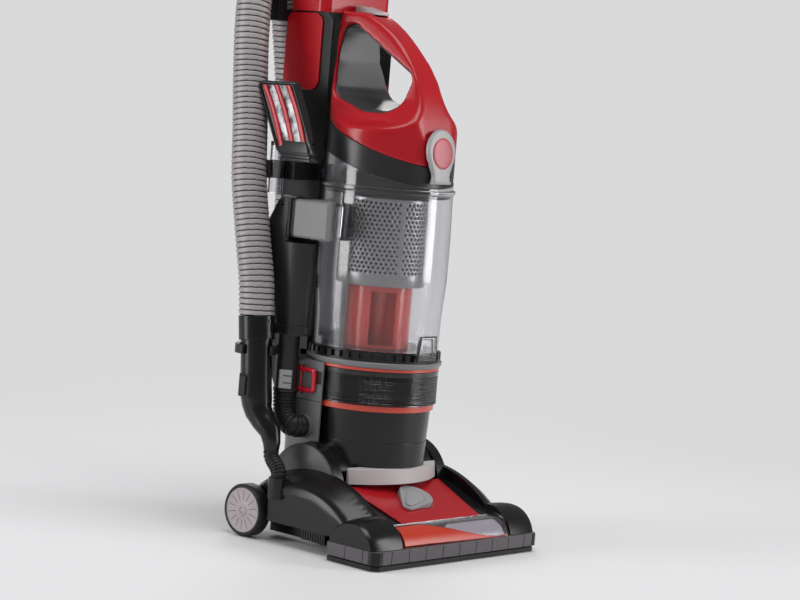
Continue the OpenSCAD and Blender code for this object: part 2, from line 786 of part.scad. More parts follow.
module fan() {
    color([0.35, 0.36, 0.38]) at_pivot() rotate([0, 90, 0]) translate([0, 0, -86]) difference() {
        union() {
            cylinder(r = drum_r - 10, h = 2);
            cylinder(r = shaft_r + 5, h = 15);
            for (k = [0 : 8]) rotate(k * 40) translate([21, 0, 0]) difference() {
                cylinder(r = 20, h = 14);
                translate([0, 0, -1]) cylinder(r = 18.4, h = 20);
                translate([-30, -30, -1]) cube([60, 30, 30]);
            }
        }
        translate([0, 0, 5]) cylinder(r = shaft_r + 0.02, h = 30);
    }
}

// ---------- filter stack ----------
module exhaust_filter() {
    pleats = 48;
    color([0.9, 0.9, 0.86]) on_axis(filter_low + 0.2) linear_extrude(filter_top - filter_low - 0.4) difference() {
        polygon([for (k = [0 : 2 * pleats - 1]) let (r = k % 2 == 0 ? 80 : 70)
            r * [cos(180 * k / pleats), sin(180 * k / pleats)]]);
        circle(64);
    }
}
module filter_cover() {
    ribs = 9;
    step = (filter_top - filter_low - 6) / ribs;
    color([0.3, 0.3, 0.32, 0.6]) on_axis() difference() {
        translate([0, 0, filter_low]) cylinder(r = 88, h = filter_top - filter_low);
        translate([0, 0, filter_low - 1]) cylinder(r = 84, h = 90);
        for (k = [0 : ribs - 1]) translate([0, 0, filter_low + 4 + k * step]) difference() {
            cylinder(r = 95, h = step / 3);
            translate([0, 0, -1]) cylinder(r = 86.6, h = 9);
        }
    }
}
module trim_rings() {
    color([0.85, 0.25, 0.1]) on_axis() {
        translate([0, 0, motor_top + 0.1]) difference() {
            cylinder(r = 85, h = filter_low - motor_top - 0.2);
            translate([0, 0, -1]) cylinder(r = 68, h = 20);
        }
        translate([0, 0, filter_top + 0.1]) difference() {
            cylinder(r = 88.2, h = deck_z - filter_top - 8.2);
            translate([0, 0, -1]) cylinder(r = 68, h = 20);
        }
    }
}
module deck_ring() {
    color([0.6, 0.6, 0.62]) on_axis() difference() {
        rotate_extrude($fn = fine) polygon([
            [30, deck_z - 8], [deck_r - 2, deck_z - 8], [deck_r, deck_z - 5],
            [deck_r, deck_z - 1], [deck_r - 1, deck_z], [30, deck_z]
        ]);
        translate([0, 0, deck_z - 9]) cylinder(r = 31, h = 20);
    }
}

// ---------- spine, hood and handle ----------
module spine_shape(inset) {
    intersection() {
        translate([0, 0, 110]) linear_extrude(700) round_box(spine_half - inset, 120, spine_back - inset, 18 - inset);
        side_cut(-100, 100) polygon([
            [spine_toe_y + inset, 120 + inset], [178 - inset, 120 + inset],
            [spine_back - inset, deck_z + inset], [spine_back - inset, spine_top - inset],
            [hood_front + inset, spine_top - inset], [spine_front + inset, spine_top - 13 - inset / 2],
            [spine_front + inset, deck_z + inset],
            [spine_toe_y + inset, deck_z + inset]
        ]);
    }
}
module spine() {
    color([0.08, 0.08, 0.09]) difference() {
        union() {
            difference() {
                spine_shape(0);
                on_axis(deck_z - 20) cylinder(r = bay_r, h = 600, $fn = fine);
                on_axis(motor_top) cylinder(r = 88.3, h = deck_z - motor_top, $fn = fine);
            }
            // socket for the hose's rear end
            translate([0, rear_port_y, rear_port_z - 46]) cylinder(r = hose_r + 3.5, h = 46);
            block([-24, spine_back - 3, rear_port_z - 46], [24, rear_port_y, rear_port_z - 16]);
            // arm that holds the tool's neck
            block([-106, 158, 475], [-spine_half + 1, 176, 499]);
            translate([neck_tool[0], neck_tool[1], 475]) cylinder(r = neck_tool_r + 4, h = 24);
            // arm that holds the duct
            block([-76.6, 164, 330], [-spine_half + 1, 176, 350]);
            // saddle under the hose's bend
            block([-56, 226, 684], [-42, 241, 699]);
            block([-80.5, 236.4, 684], [-44, 241, 699]);
            block([-80.5, 236.4, 684], [-65, 268, 728]);
        }
        difference() {
            spine_shape(spine_wall);
            on_axis(deck_z - 20) cylinder(r = bay_r + spine_wall, h = 600, $fn = fine);
            block([-1.5, 100, 100], [1.5, 250, 750]);
        }
        translate([0, rear_port_y, rear_port_z - 40]) cylinder(r = hose_bore, h = 60);
        block([-12, spine_back - 6, rear_port_z - 40], [12, rear_port_y, rear_port_z - 20]);
        translate([neck_tool[0], neck_tool[1], 470]) cylinder(r = neck_tool_r + 0.4, h = 40);
        block([neck_tool[0] - 40, 120, 470], [neck_tool[0] + neck_tool_r + 0.4, neck_tool[1], 510]);
        // clear of the hose beside the tool's neck
        translate([-140.5, 208, 487]) rotate([-14, 0, 0]) cylinder(r = hose_r + 2 * gap, h = 60, center = true);
        // round seat of the saddle
        translate([-73, 263.5, 747.2]) rotate([0, 90, 9]) cylinder(r = hose_r + 2, h = 60, center = true);
    }
}
module spine_panels() {
    r = 14;
    color([0.72, 0.05, 0.06]) both_sides() side_cut(spine_half + 0.1, spine_half + 3) {
        for (y = [170 + r, 236 - r], z = [595 + r, 698 - r]) translate([y, z]) circle(r);
        translate([170, 595 + r]) square([66, 103 - 2 * r]);
        translate([170 + r, 595]) square([66 - 2 * r, 103]);
    }
}
module hood() {
    low = spine_top + 0.1;
    color([0.75, 0.06, 0.08]) difference() {
        intersection() {
            translate([0, 0, low]) linear_extrude(120) round_box(hood_half, hood_front, hood_back, 14);
            side_cut(-80, 80) polygon([
                [hood_front, low], [hood_front, low + 36], [184, low + 100],
                [214, low + 100], [232, low + 60], [hood_back, low]
            ]);
            front_cut(100, 260) polygon([
                [-hood_half, low], [-hood_half, low + 36], [-26, low + 100],
                [26, low + 100], [hood_half, low + 36], [hood_half, low]
            ]);
        }
        translate([0, 0, low - 1]) linear_extrude(40) round_box(hood_half - 4, hood_front + 4, hood_back - 4, 10);
        translate([0, neck_y, spine_top + 91.9]) linear_extrude(20) rotate(90) stadium(neck_r + 0.05, neck_half);
    }
}
module loop_handle() {
    neck_top = loop_low_z - loop_r + 4;
    color([0.09, 0.09, 0.1]) difference() {
        union() {
            translate([0, neck_y, spine_top + 92]) linear_extrude(neck_top - spine_top - 92)
                rotate(90) stadium(neck_r, neck_half);
            translate([0, neck_y, 0]) {
                for (s = [-1, 1]) translate([0, s * loop_r, loop_low_z]) cylinder(r = grip_r, h = 66);
                difference() {
                    translate([0, 0, loop_low_z]) rotate([0, 90, 0])
                        rotate_extrude($fn = fine) translate([loop_r, 0]) circle(grip_r);
                    block([-50, -90, loop_low_z], [50, 90, loop_low_z + 90]);
                }
                difference() {
                    translate([0, 0, loop_low_z + 66]) rotate([0, 90, 0])
                        rotate_extrude($fn = fine) translate([loop_r, 0]) circle(grip_r);
                    block([-50, -90, loop_low_z - 30], [50, 90, loop_low_z + 66]);
                }
            }
        }
        // pocket for the switch
        block([-8.4, neck_y - neck_r - 1, switch_z - 14], [8.4, neck_y - neck_r + 9, switch_z + 14.8]);
        translate([0, neck_y - neck_r + 5, switch_z]) bar_x(-11, 11, 1.5 + fit);
        // seat for the cord hook's pin
        translate([0, neck_y + neck_r - 8, hook_z]) rotate([-90, 0, 0]) cylinder(r = 4 + fit, h = 30);
    }
}
module power_switch() {
    y = neck_y - neck_r + 5;
    color([0.7, 0.08, 0.08]) {
        translate([0, y, switch_z]) bar_x(-10, 10, 1.5);
        translate([0, 0, switch_z]) side_cut(-8, 8) polygon([
            [y - 5, -12.5], [y - 5, 0], [y - 8, 12.5], [y - 2, 12.5], [y + 1, 0], [y - 2, -12.5]
        ]);
    }
}
module upper_cord_hook() {
    y = neck_y + neck_r;
    color([0.1, 0.1, 0.11]) {
        translate([0, y - 7, hook_z]) rotate([-90, 0, 0]) cylinder(r = 4, h = 9);
        translate([0, y + gap, hook_z]) rotate([-90, 0, 0]) cylinder(r = 13, h = 7);
        block([-9, y + gap, hook_z], [9, y + 7, hook_z + 22]);
        block([-9, y + gap, hook_z + 16], [9, y + 34, hook_z + 22]);
        block([-9, y + 28, hook_z + 16], [9, y + 34, hook_z + 42]);
    }
}
module lower_cord_hook() {
    y = spine_back;
    color([0.1, 0.1, 0.11]) {
        block([29, y + 0.1, 296], [49, y + 6, 330]);
        block([31, y + 0.1, 308], [47, y + 34, 314]);
        block([31, y + 28, 288], [47, y + 34, 314]);
        // gland for the supply cord
        translate([39, y + 0.1, 272]) rotate([-90, 0, 0]) difference() {
            cylinder(r1 = 9, r2 = 6, h = 22);
            translate([0, 0, -1]) cylinder(r = 3.6, h = 40);
        }
    }
}

// ---------- air path on the left side ----------
module duct_shape(inset) {
    hull() {
        translate([duct_x + 1, duct_y - 3, duct_low + inset]) linear_extrude(1) stadium(20 - inset, 6, $fn = 32);
        translate([duct_x, duct_y + 4, 372]) linear_extrude(1) stadium(23.5 - inset, 14, $fn = 32);
        translate([duct_x, duct_y + 5, 404]) linear_extrude(14) stadium(25 - inset, 15, $fn = 32);
        translate([duct_x, duct_y - 2, duct_top - 20]) rotate([-90, 0, 0]) cylinder(r = 20 - inset, h = 24, $fn = 32);
    }
}
module duct() {
    color([0.06, 0.06, 0.065]) difference() {
        union() {
            difference() {
                duct_shape(0);
                block([-200, 0, box_low - 8], [0, mouth_y, 500]);
            }
            block([-124, mouth_y, box_low], [-80, mouth_y + 8, box_high]);
            translate([duct_x + 1, duct_y - 3, duct_low - 12]) linear_extrude(12.5) stadium(21, 8);
            translate([duct_foot_x, duct_foot_y, 195]) cylinder(r = lower_r, h = duct_low - 206);
            translate([duct_foot_x, duct_foot_y, 195]) cylinder(r = lower_r + 1, h = 4);
            // clip round the hose tube
            block([-138, 146, 244], [-112, 160, 256]);
            translate([-tube_x, 162.6, 244]) cylinder(r = tube_r + 6.5, h = 12);
        }
        difference() {
            duct_shape(3);
            block([-200, 0, box_low - 11], [0, mouth_y + 3, 500]);
        }
        translate([duct_foot_x, duct_foot_y, 190]) cylinder(r = lower_r - 3.5, h = 110);
        block([-119, mouth_y - 9, box_low + 5], [-85, mouth_y + 19, box_high - 9]);
        translate([-tube_x, 161.2, 240]) cylinder(r = tube_r + 1, h = 30);
        block([-tube_x - 40, 110, 240], [-tube_x + 2, 161.2, 270]);
    }
}
module inlet_seal() {
    color([0.05, 0.05, 0.05]) difference() {
        union() {
            for (y = [box_back + gap, mouth_y - 4.3]) block([-124, y, box_low], [-81, y + 4, box_high]);
            block([-121, box_back + 3, box_low + 3], [-84, mouth_y - 3, box_high - 3]);
        }
        block([-117.5, 0, box_low + 7], [-87, 300, box_high - 10]);
    }
}
module lower_hose() {
    color([0.12, 0.12, 0.12]) ribbed_hose(lower_route, lower_r, 2, lower_r - 4, [0.2, 1, 0.6], 6);
}
module hose_tube() {
    sides = 24;
    path = along([for (p = tube_route) [-tube_x, p[0], p[1]]], 12);
    n = len(path);
    swell = [for (i = [0 : n - 1]) min(1, max(0, (path[i][2] - 121) / 62))];
    outer = [for (i = [0 : n - 1]) ring(path[i], tangent(path, i), [1, 0, 0], boot_r + (tube_r - boot_r) * swell[i], sides)];
    inner = [for (i = [0 : n - 1]) ring(path[i], tangent(path, i), [1, 0, 0], boot_r - 2.5 + (tube_r - boot_r) * swell[i], sides)];
    color([0.05, 0.05, 0.055]) difference() {
        union() {
            tube_skin(outer, inner, sides);
            block([-tube_x - tube_r - 4, 148, 188], [-tube_x - tube_r + 1.6, 164, 218]);
        }
        block([-tube_x - tube_r - 5, 150, 190], [-tube_x - tube_r - 0.4, 162, 216]);
    }
}
module hose_release() {
    color([0.12, 0.12, 0.13]) block(
        [-tube_x - tube_r - 6.5, 150.4, 190.4],
        [-tube_x - tube_r - 3, 161.6, 215.6]
    );
}
module hose_cuff() {
    color([0.05, 0.05, 0.055]) translate([-tube_x, 161.9, 262]) rotate([-7, 0, 0]) difference() {
        cylinder(r = hose_r + 1.5, h = 32);
        translate([0, 0, -1]) cylinder(r = tube_r + 0.6, h = 31);
        cylinder(r = hose_bore, h = 40);
    }
}
module stretch_hose() {
    color([0.6, 0.6, 0.62]) ribbed_hose(stretch_route, hose_r, 2.2, hose_bore, [-0.3, 1, 0], rib_pitch);
}

// ---------- dirt cup ----------
module below_lid_line(z0, angle, high = 300) {
    translate([0, lid_front_y, z0]) rotate([angle, 0, 0]) translate([-200, -100, -high]) cube([400, 500, high]);
}
module cup_shell() {
    r = cup_r;
    w = cup_wall;
    color([0.75, 0.75, 0.78, 0.35]) {
        on_axis() difference() {
            rotate_extrude($fn = fine) polygon([
                [r - 4.1, cup_floor], [r - 3.5, 303], [r - 0.1, 357], [r, 411], [r - 1.3, 458],
                [r - 1.3, rim_z - 2], [r + 1.2, rim_z], [r + 1.2, rim_z + 4], [r - 2, rim_z + 5],
                [r - 2 - w, rim_z + 5], [r - 1.3 - w, 458], [r - w, 411], [r - 0.1 - w, 357],
                [r - 3.5 - w, 303], [r - 4.1 - w, cup_floor]
            ]);
            translate([0, 0, box_low + 5]) rotate([0, 0, 0]) translate([-r - 5, -2, 0]) cube([45, 50, box_high - box_low - 10]);
        }
        intersection() {
            on_axis(rim_z + 5) difference() {
                cylinder(r = r - 2, h = 80);
                translate([0, 0, -1]) cylinder(r = r - 2 - w, h = 90);
            }
            below_lid_line(lid_low_z, lid_low_rise);
        }
    }
}
module cup_door() {
    teeth = 40;
    color([0.07, 0.07, 0.08]) on_axis(cup_z) difference() {
        union() {
            cylinder(r = cup_r - 4.1, h = cup_floor - cup_z);
            for (k = [0 : teeth - 1]) rotate(k * 360 / teeth) translate([cup_r - 6, -3.4, 2]) cube([6.2, 6.8, 9]);
            cylinder(r = cup_r, h = 2.5);
        }
        translate([0, 0, -1]) cylinder(r = cup_r - 12, h = cup_floor - cup_z - 2);
    }
}
module shroud_screen() {
    rows = 8;
    around = 20;
    color([0.55, 0.55, 0.57]) on_axis() difference() {
        union() {
            rotate_extrude($fn = fine) polygon([
                [cone_r + 0.1, shroud_low], [shroud_r, shroud_low], [shroud_r, shroud_top],
                [shroud_r - 2, shroud_top], [shroud_r - 2, shroud_low + 3], [cone_r + 0.1, shroud_low + 3]
            ]);
            // plate that the screen hangs from
            rotate_extrude($fn = fine) polygon([
                [shroud_r - 8, shroud_top + 0.1], [cup_r - 8, shroud_top + 0.1],
                [cup_r - 4.6, shroud_top + 3], [cup_r - 4.6, shroud_top + 6], [shroud_r - 8, shroud_top + 6]
            ]);
        }
        for (row = [0 : rows - 1], k = [0 : around / 2 - 1])
            translate([0, 0, shroud_low + 14 + row * 12.5]) rotate([0, 90, (k + row % 2 / 2) * 360 / around])
                cylinder(r = 4, h = 2 * shroud_r + 9, center = true, $fn = 6);
    }
}
module cyclone_body() {
    color([0.75, 0.12, 0.08]) on_axis() difference() {
        union() {
            rotate_extrude($fn = fine) polygon([
                [cone_r - 2.5, cup_floor + 0.1], [cone_r, cup_floor + 0.1],
                [cone_r, shroud_low + 4], [cone_r - 2.5, shroud_low + 4]
            ]);
            rotate_extrude($fn = fine) polygon([
                [10, cup_floor + 0.1], [13, cup_floor + 0.1], [30, shroud_low + 60],
                [30, shroud_top - 5], [27, shroud_top - 5], [27, shroud_low + 60]
            ]);
            for (k = [0 : 2]) rotate(k * 120 + 30) translate([11, -1.5, cup_floor + 0.1]) cube([cone_r - 12, 3, 80]);
            for (k = [0 : 2]) rotate(k * 120 + 30) translate([24, -1.5, shroud_low]) cube([cone_r - 25, 3, 20]);
        }
        // tall openings in the outer wall
        for (k = [0 : 2]) rotate(k * 120 - 129)
            translate([34, -17, cup_floor + 4]) cube([40, 34, shroud_low - cup_floor - 12]);
    }
}
module lid_band() {
    color([0.07, 0.07, 0.075]) difference() {
        intersection() {
            on_axis(rim_z) cylinder(r = lid_r, h = 120, $fn = fine);
            below_lid_line(lid_high_z - 0.1, lid_high_rise);
        }
        below_lid_line(lid_low_z + 0.1, lid_low_rise);
        on_axis(rim_z - 5) cylinder(r = 66, h = 200);
        block([-spine_half - 1, handle_back, 0], [spine_half + 1, 300, 999]);
        latch_room();
    }
}
// Outline of the carrying handle's opening, drawn as (y, z) and drawn in by an inset
module grip_opening(inset) {
    hull() {
        translate([143, 674]) circle(14 - inset, $fn = 32);
        translate([137, 640]) circle(20.5 - inset, $fn = 32);
        translate([125, 610]) circle(25 - inset, $fn = 32);
        translate([90, 595]) circle(22 - inset, $fn = 32);
        translate([68, 600]) circle(27 - inset, $fn = 32);
        translate([56, 616]) circle(18 - inset, $fn = 32);
    }
}
module handle_outside() {
    intersection() {
        on_axis(lid_low_z) cylinder(r = lid_r, h = 300, $fn = fine);
        translate([0, arc_y, arc_z]) rotate([0, 90, 0]) cylinder(r = arc_r, h = 400, center = true, $fn = 128);
        block([-200, -200, 0], [200, handle_back, arch_z]);
    }
}
// The space beside the handle: the flanks lean in upward, toe in forward and flare at the foot
module flanks(grow) {
    half = arch_w / 2 + 14.9;
    foot_z = 598;
    lean_x = half + (690 - foot_z) * tan(flank_lean);
    cx = lean_x + flank_r * cos(flank_lean);
    cz = foot_z + flank_r * sin(flank_lean);
    ux = -grow * cos(flank_lean);
    uz = -grow * sin(flank_lean);
    both_sides() translate([0, handle_back, 0]) rotate([0, 0, -flank_toe]) front_cut(-260, 260) {
        translate([cx, cz]) circle(flank_r + grow, $fn = 128);
        polygon([
            [lean_x + ux, foot_z + uz], [half - 20 * tan(flank_lean) + ux, 710 + uz], [400, 710 + uz],
            [400, cz - flank_r - grow], [cx, cz - flank_r - grow]
        ]);
    }
}
module lid_handle() {
    color([0.72, 0.04, 0.05]) difference() {
        handle_outside();
        flanks(0);
        side_cut(-120, 120) grip_opening(0);
        below_lid_line(lid_high_z + 0.1, lid_high_rise);
        on_axis(lid_high_z - 20) cylinder(r = 66, h = 48);
        // pocket of the release button
        block([-13.4, 119.6, 697], [13.4, 158.4, 720]);
        latch_room();
    }
}
// Dark sleeve that lines the opening all round
module handle_liner() {
    color([0.2, 0.2, 0.21]) difference() {
        intersection() {
            side_cut(-90, 90) difference() {
                grip_opening(0.1);
                grip_opening(liner_t);
            }
            on_axis() cylinder(r = lid_r - 2, h = 900);
            block([-90, 0, 560], [90, handle_back - 1, 695]);
        }
        flanks(0.8);
    }
}
module inlet_box() {
    color([0.3, 0.3, 0.31]) difference() {
        translate([0, 0, box_low]) linear_extrude(box_high - box_low) polygon([
            [-125, box_back], [-125, 74], [-122, 71], [-102, 82], [-84, 98], [-60, 108], [-60, box_back]
        ]);
        on_axis() cylinder(r = cup_r + 0.1, h = 900, $fn = fine);
        block([-121, 92, box_low + 5], [-70, 200, box_high - 5]);
        for (z = [box_low, box_high]) translate([-125, 0, z]) rotate([0, 45, 0]) cube([4, 400, 4], center = true);
    }
}
module pre_filter() {
    color([0.25, 0.35, 0.55]) on_axis(shroud_top + 6.1) difference() {
        cylinder(r = 64, h = 22);
        translate([0, 0, -1]) cylinder(r = 12, h = 12);
    }
}
latch_z = 554;
latch_y = -0.8;
// Space that the lid latch swings and sits in
module latch_room() {
    block([-24, -30, 545], [24, latch_y + 5.2, 570]);
    translate([0, latch_y, latch_z]) bar_x(-28, 28, 2 + fit);
}
module lid_latch() {
    color([0.66, 0.66, 0.68]) {
        translate([0, latch_y, latch_z]) bar_x(-27, 27, 2);
        translate([0, latch_y, latch_z]) rotate([-5, 0, 0]) intersection() {
            difference() {
                union() {
                    bar_x(-22, 22, 4);
                    block([-22, -4, -68], [22, 2.5, 0]);
                }
                // shallow oval pad
                translate([0, -3.2, -20]) rotate([90, 0, 0]) linear_extrude(4) stadium(13, 4);
            }
            // round head, waist and flared foot
            front_cut(-20, 20) {
                translate([0, -18]) circle(22.3);
                polygon([[-19, -28], [19, -28], [14.5, -47], [19.5, -68], [-19.5, -68], [-14.5, -47]]);
            }
        }
    }
}
module door_latch() {
    y = axis_y - cup_r - 1;
    color([0.7, 0.7, 0.74, 0.6]) difference() {
        front_cut(y - 5, y) polygon([
            [-19, cup_z + 3], [19, cup_z + 3], [15, cup_z + 37], [-15, cup_z + 37]
        ]);
        front_cut(y - 9, y - 1.8) polygon([
            [-14, cup_z + 10], [14, cup_z + 10], [11.5, cup_z + 33], [-11.5, cup_z + 33]
        ]);
    }
}
module cup_button() {
    color([0.6, 0.6, 0.62]) intersection() {
        block([-13, 120, 701.5], [13, 158, 712]);
        side_cut(-20, 20) polygon([[100, 690], [170, 690], [170, 712], [150, 712], [112, 703]]);
    }
}
module filter_bail() {
    color([0.8, 0.05, 0.06]) {
        block([-96, 100, 196.5], [-92, 129, 201]);
        block([-96, 100, 225], [-92, 129, 229.5]);
        block([-96, 100, 196.5], [-92, 104, 229.5]);
        for (z = [189, 224]) translate([-94, 127, z]) cylinder(r = 1.5, h = 12);
    }
}

// ---------- stored tool ----------
module tool_head() {
    color([0.12, 0.12, 0.13]) difference() {
        union() {
            hull() for (p = [[202.5, 591], [158, 593], [123, 528], [166, 521]])
                translate([0, p[0], p[1]]) bar_x(-132, -114, 7, $fn = 24);
            hull() {
                translate([0, 0, 508]) linear_extrude(1) translate([-122, 137]) rotate(2) stadium(9, 26, $fn = 24);
                translate([0, 0, 522]) linear_extrude(1) translate([-122, 139]) rotate(2) stadium(8, 26, $fn = 24);
            }
        }
        side_cut(-134, -130.5) polygon([[202, 589], [159, 591], [125, 530], [166, 524]]);
        translate([neck_tool[0], neck_tool[1], 500]) cylinder(r = neck_tool_r + fit, h = 24 + fit);
    }
}
module tool_neck() {
    color([0.7, 0.72, 0.75, 0.6]) translate([neck_tool[0], neck_tool[1], 0]) difference() {
        translate([0, 0, duct_top + 1]) cylinder(r = neck_tool_r, h = 68);
        translate([0, 0, duct_top]) cylinder(r = neck_tool_r - 2, h = 64);
    }
}

sole_plate();
foot_housing();
guard_strip();
top_panel();
nozzle_window();
trunnion_covers();
foot_pins();
brush_bearings();
drive_belt();
hose_boot();
brush_core();
brush_bristles();
wheel_hub_left();
wheel_tyre_left();
wheel_hub_right();
wheel_tyre_right();
roller_carriage();
front_rollers();
height_knob();
recline_pedal();
motor_housing();
front_apron();
rear_body();
motor_can();
shaft_bearings();
exhaust_filter();
filter_cover();
trim_rings();
deck_ring();
spine();
spine_panels();
hood();
loop_handle();
duct();
inlet_seal();
lower_hose();
hose_tube();
hose_cuff();
stretch_hose();
lower_cord_hook();
armature();
fan();
cup_shell();
cup_door();
shroud_screen();
cyclone_body();
lid_band();
lid_handle();
handle_liner();
inlet_box();
pre_filter();
lid_latch();
door_latch();
cup_button();
power_switch();
upper_cord_hook();
hose_release();
filter_bail();
tool_head();
tool_neck();
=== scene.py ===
import json
import math

import bmesh
import bpy
from mathutils import Matrix, Vector


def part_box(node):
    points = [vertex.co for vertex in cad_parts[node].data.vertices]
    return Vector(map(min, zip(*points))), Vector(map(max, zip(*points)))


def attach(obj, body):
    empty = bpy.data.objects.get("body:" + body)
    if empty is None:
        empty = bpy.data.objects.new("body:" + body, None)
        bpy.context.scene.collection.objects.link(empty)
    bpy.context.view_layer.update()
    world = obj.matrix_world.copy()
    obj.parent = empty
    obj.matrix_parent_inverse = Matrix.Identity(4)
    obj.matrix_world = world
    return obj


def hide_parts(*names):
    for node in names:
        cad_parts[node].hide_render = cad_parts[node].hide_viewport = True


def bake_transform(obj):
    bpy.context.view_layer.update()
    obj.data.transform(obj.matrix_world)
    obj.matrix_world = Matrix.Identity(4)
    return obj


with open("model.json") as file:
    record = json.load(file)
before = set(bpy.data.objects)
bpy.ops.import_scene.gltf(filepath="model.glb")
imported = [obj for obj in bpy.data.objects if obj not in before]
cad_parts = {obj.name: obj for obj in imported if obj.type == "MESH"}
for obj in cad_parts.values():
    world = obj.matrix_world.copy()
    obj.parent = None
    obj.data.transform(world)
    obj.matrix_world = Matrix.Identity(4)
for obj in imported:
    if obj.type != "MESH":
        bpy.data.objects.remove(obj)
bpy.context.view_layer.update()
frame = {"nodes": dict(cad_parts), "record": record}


# ---- Camera ----
# A long lens at the height of the lid, ahead of the machine and to its left, looking a little down and
# tipped a little to one side.
def placed(name, data):
    """A new object in the scene."""
    thing = bpy.data.objects.new(name, data)
    bpy.context.scene.collection.objects.link(thing)
    return thing


heading = math.radians(48.2)
dip = math.radians(5.3)
lean = math.radians(4.8)
ahead = Vector((math.sin(heading) * math.cos(dip), math.cos(heading) * math.cos(dip), -math.sin(dip)))
level = Vector((math.cos(heading), -math.sin(heading), 0))
above = level.cross(ahead)
right = level * math.cos(lean) + above * math.sin(lean)
up = above * math.cos(lean) - level * math.sin(lean)
lens = bpy.data.cameras.new("long_lens")
lens.lens = 113.1
camera = placed("front_left_view", lens)
aim = Matrix((right, up, -ahead)).transposed().to_4x4()
camera.matrix_world = Matrix.Translation((-2.4863, -2.1768, 0.6366)) @ aim
bpy.context.scene.camera = camera
bpy.context.scene.view_settings.view_transform = "Standard"


# ---- Stretch hose ----
# Extruded grey vinyl wound round a wire: it is stored in one bend from the cuff beside the duct, up over
# its saddle behind the spine, and down into its socket. Both of its ends are held.
def smooth_route(points, step):
    """Even steps along a smooth curve through the points, which are in millimetres."""
    knots = [Vector(p) / 1000 for p in points]
    fine = []
    for i in range(len(knots) - 1):
        a, b, c, d = knots[max(i - 1, 0)], knots[i], knots[i + 1], knots[min(i + 2, len(knots) - 1)]
        for k in range(40):
            t = k / 40
            bend, twist = 2 * a - 5 * b + 4 * c - d, 3 * b - a - 3 * c + d
            fine.append(0.5 * (2 * b + (c - a) * t + bend * t * t + twist * t ** 3))
    fine.append(knots[-1])
    reach = [0.0]
    for p, q in zip(fine, fine[1:]):
        reach.append(reach[-1] + (q - p).length)
    count = max(2, round(reach[-1] / step))
    even, j = [], 0
    for i in range(count + 1):
        s = reach[-1] * i / count
        while j < len(reach) - 2 and reach[j + 1] < s:
            j += 1
        even.append(fine[j].lerp(fine[j + 1], min(1, max(0, (s - reach[j]) / (reach[j + 1] - reach[j])))))
    return even


def new_piece(name, mesh, finishes, body, slot, *nodes):
    """Puts a mesh in the scene as a piece that rides on a body and stands for the solids named."""
    piece = placed(name, mesh)
    for finish in finishes:
        mesh.materials.append(finish)
    if body:
        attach(piece, body)
    if nodes:
        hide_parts(*nodes)
    return piece


def wound_hose(name, route, finishes, body, slot, *nodes, crest, depth, bore, pitch, across, sides=36, turn=10):
    """A hose with one helical groove: the wall between the turns and the wire in the groove. crest, depth, bore
    and pitch are in metres, across is a direction that the hose never runs along, turn is steps in a turn."""
    line = smooth_route(route, pitch / turn)
    groove_half, wire_half = 0.2, 0.1  # as shares of a turn
    rings = []

    def ring_of(i, radius_at):
        way = (line[min(i + 1, len(line) - 1)] - line[max(i - 1, 0)]).normalized()
        side = way.cross(Vector(across)).normalized()
        other = way.cross(side)
        turns = [k / sides for k in range(sides)]
        return [
            line[i] + radius_at(t) * (math.cos(2 * math.pi * t) * side + math.sin(2 * math.pi * t) * other)
            for t in turns
        ]

    def from_groove(i, part):
        phase = (i / turn + part) % 1
        return min(phase, 1 - phase)

    def wall_radius(i, part):
        off = from_groove(i, part) / groove_half
        return crest - depth * (0.5 + 0.5 * math.cos(math.pi * off)) if off < 1 else crest

    for i in range(len(line)):
        rings.append(ring_of(i, lambda part: wall_radius(i, part)))
    inner = [i for i in range(len(line)) if i % turn == 0 or i == len(line) - 1]
    rings += [ring_of(i, lambda part: bore) for i in inner]
    outside = len(line)
    faces, marks = [], []
    for a, b, flip in (
        [(i, i + 1, False) for i in range(outside - 1)]
        + [(outside + i, outside + i + 1, True) for i in range(len(inner) - 1)]
        + [(0, outside, True), (outside - 1, len(rings) - 1, False)]
    ):
        for k in range(sides):
            n = (k + 1) % sides
            quad = [a * sides + k, a * sides + n, b * sides + n, b * sides + k]
            faces.append(quad[::-1] if flip else quad)
            on_wire = from_groove(a + 0.5, (k + 0.5) / sides) < wire_half
            marks.append(1 if a < outside - 1 and b < outside and on_wire else 0)
    mesh = bpy.data.meshes.new(name)
    mesh.from_pydata([p for ring in rings for p in ring], [], faces)
    mesh.polygons.foreach_set("material_index", marks if len(finishes) > 1 else [0] * len(marks))
    mesh.shade_smooth()
    bm = bmesh.new()
    bm.from_mesh(mesh)
    bmesh.ops.recalc_face_normals(bm, faces=bm.faces)
    bm.to_mesh(mesh)
    bm.free()
    return new_piece(name, mesh, finishes, body, slot, *nodes)


def preset(node, **values):
    """Sets plain values of a node's inputs. Underscores stand for the spaces in an input's name."""
    for name, value in values.items():
        node.inputs[name.replace("_", " ")].default_value = value


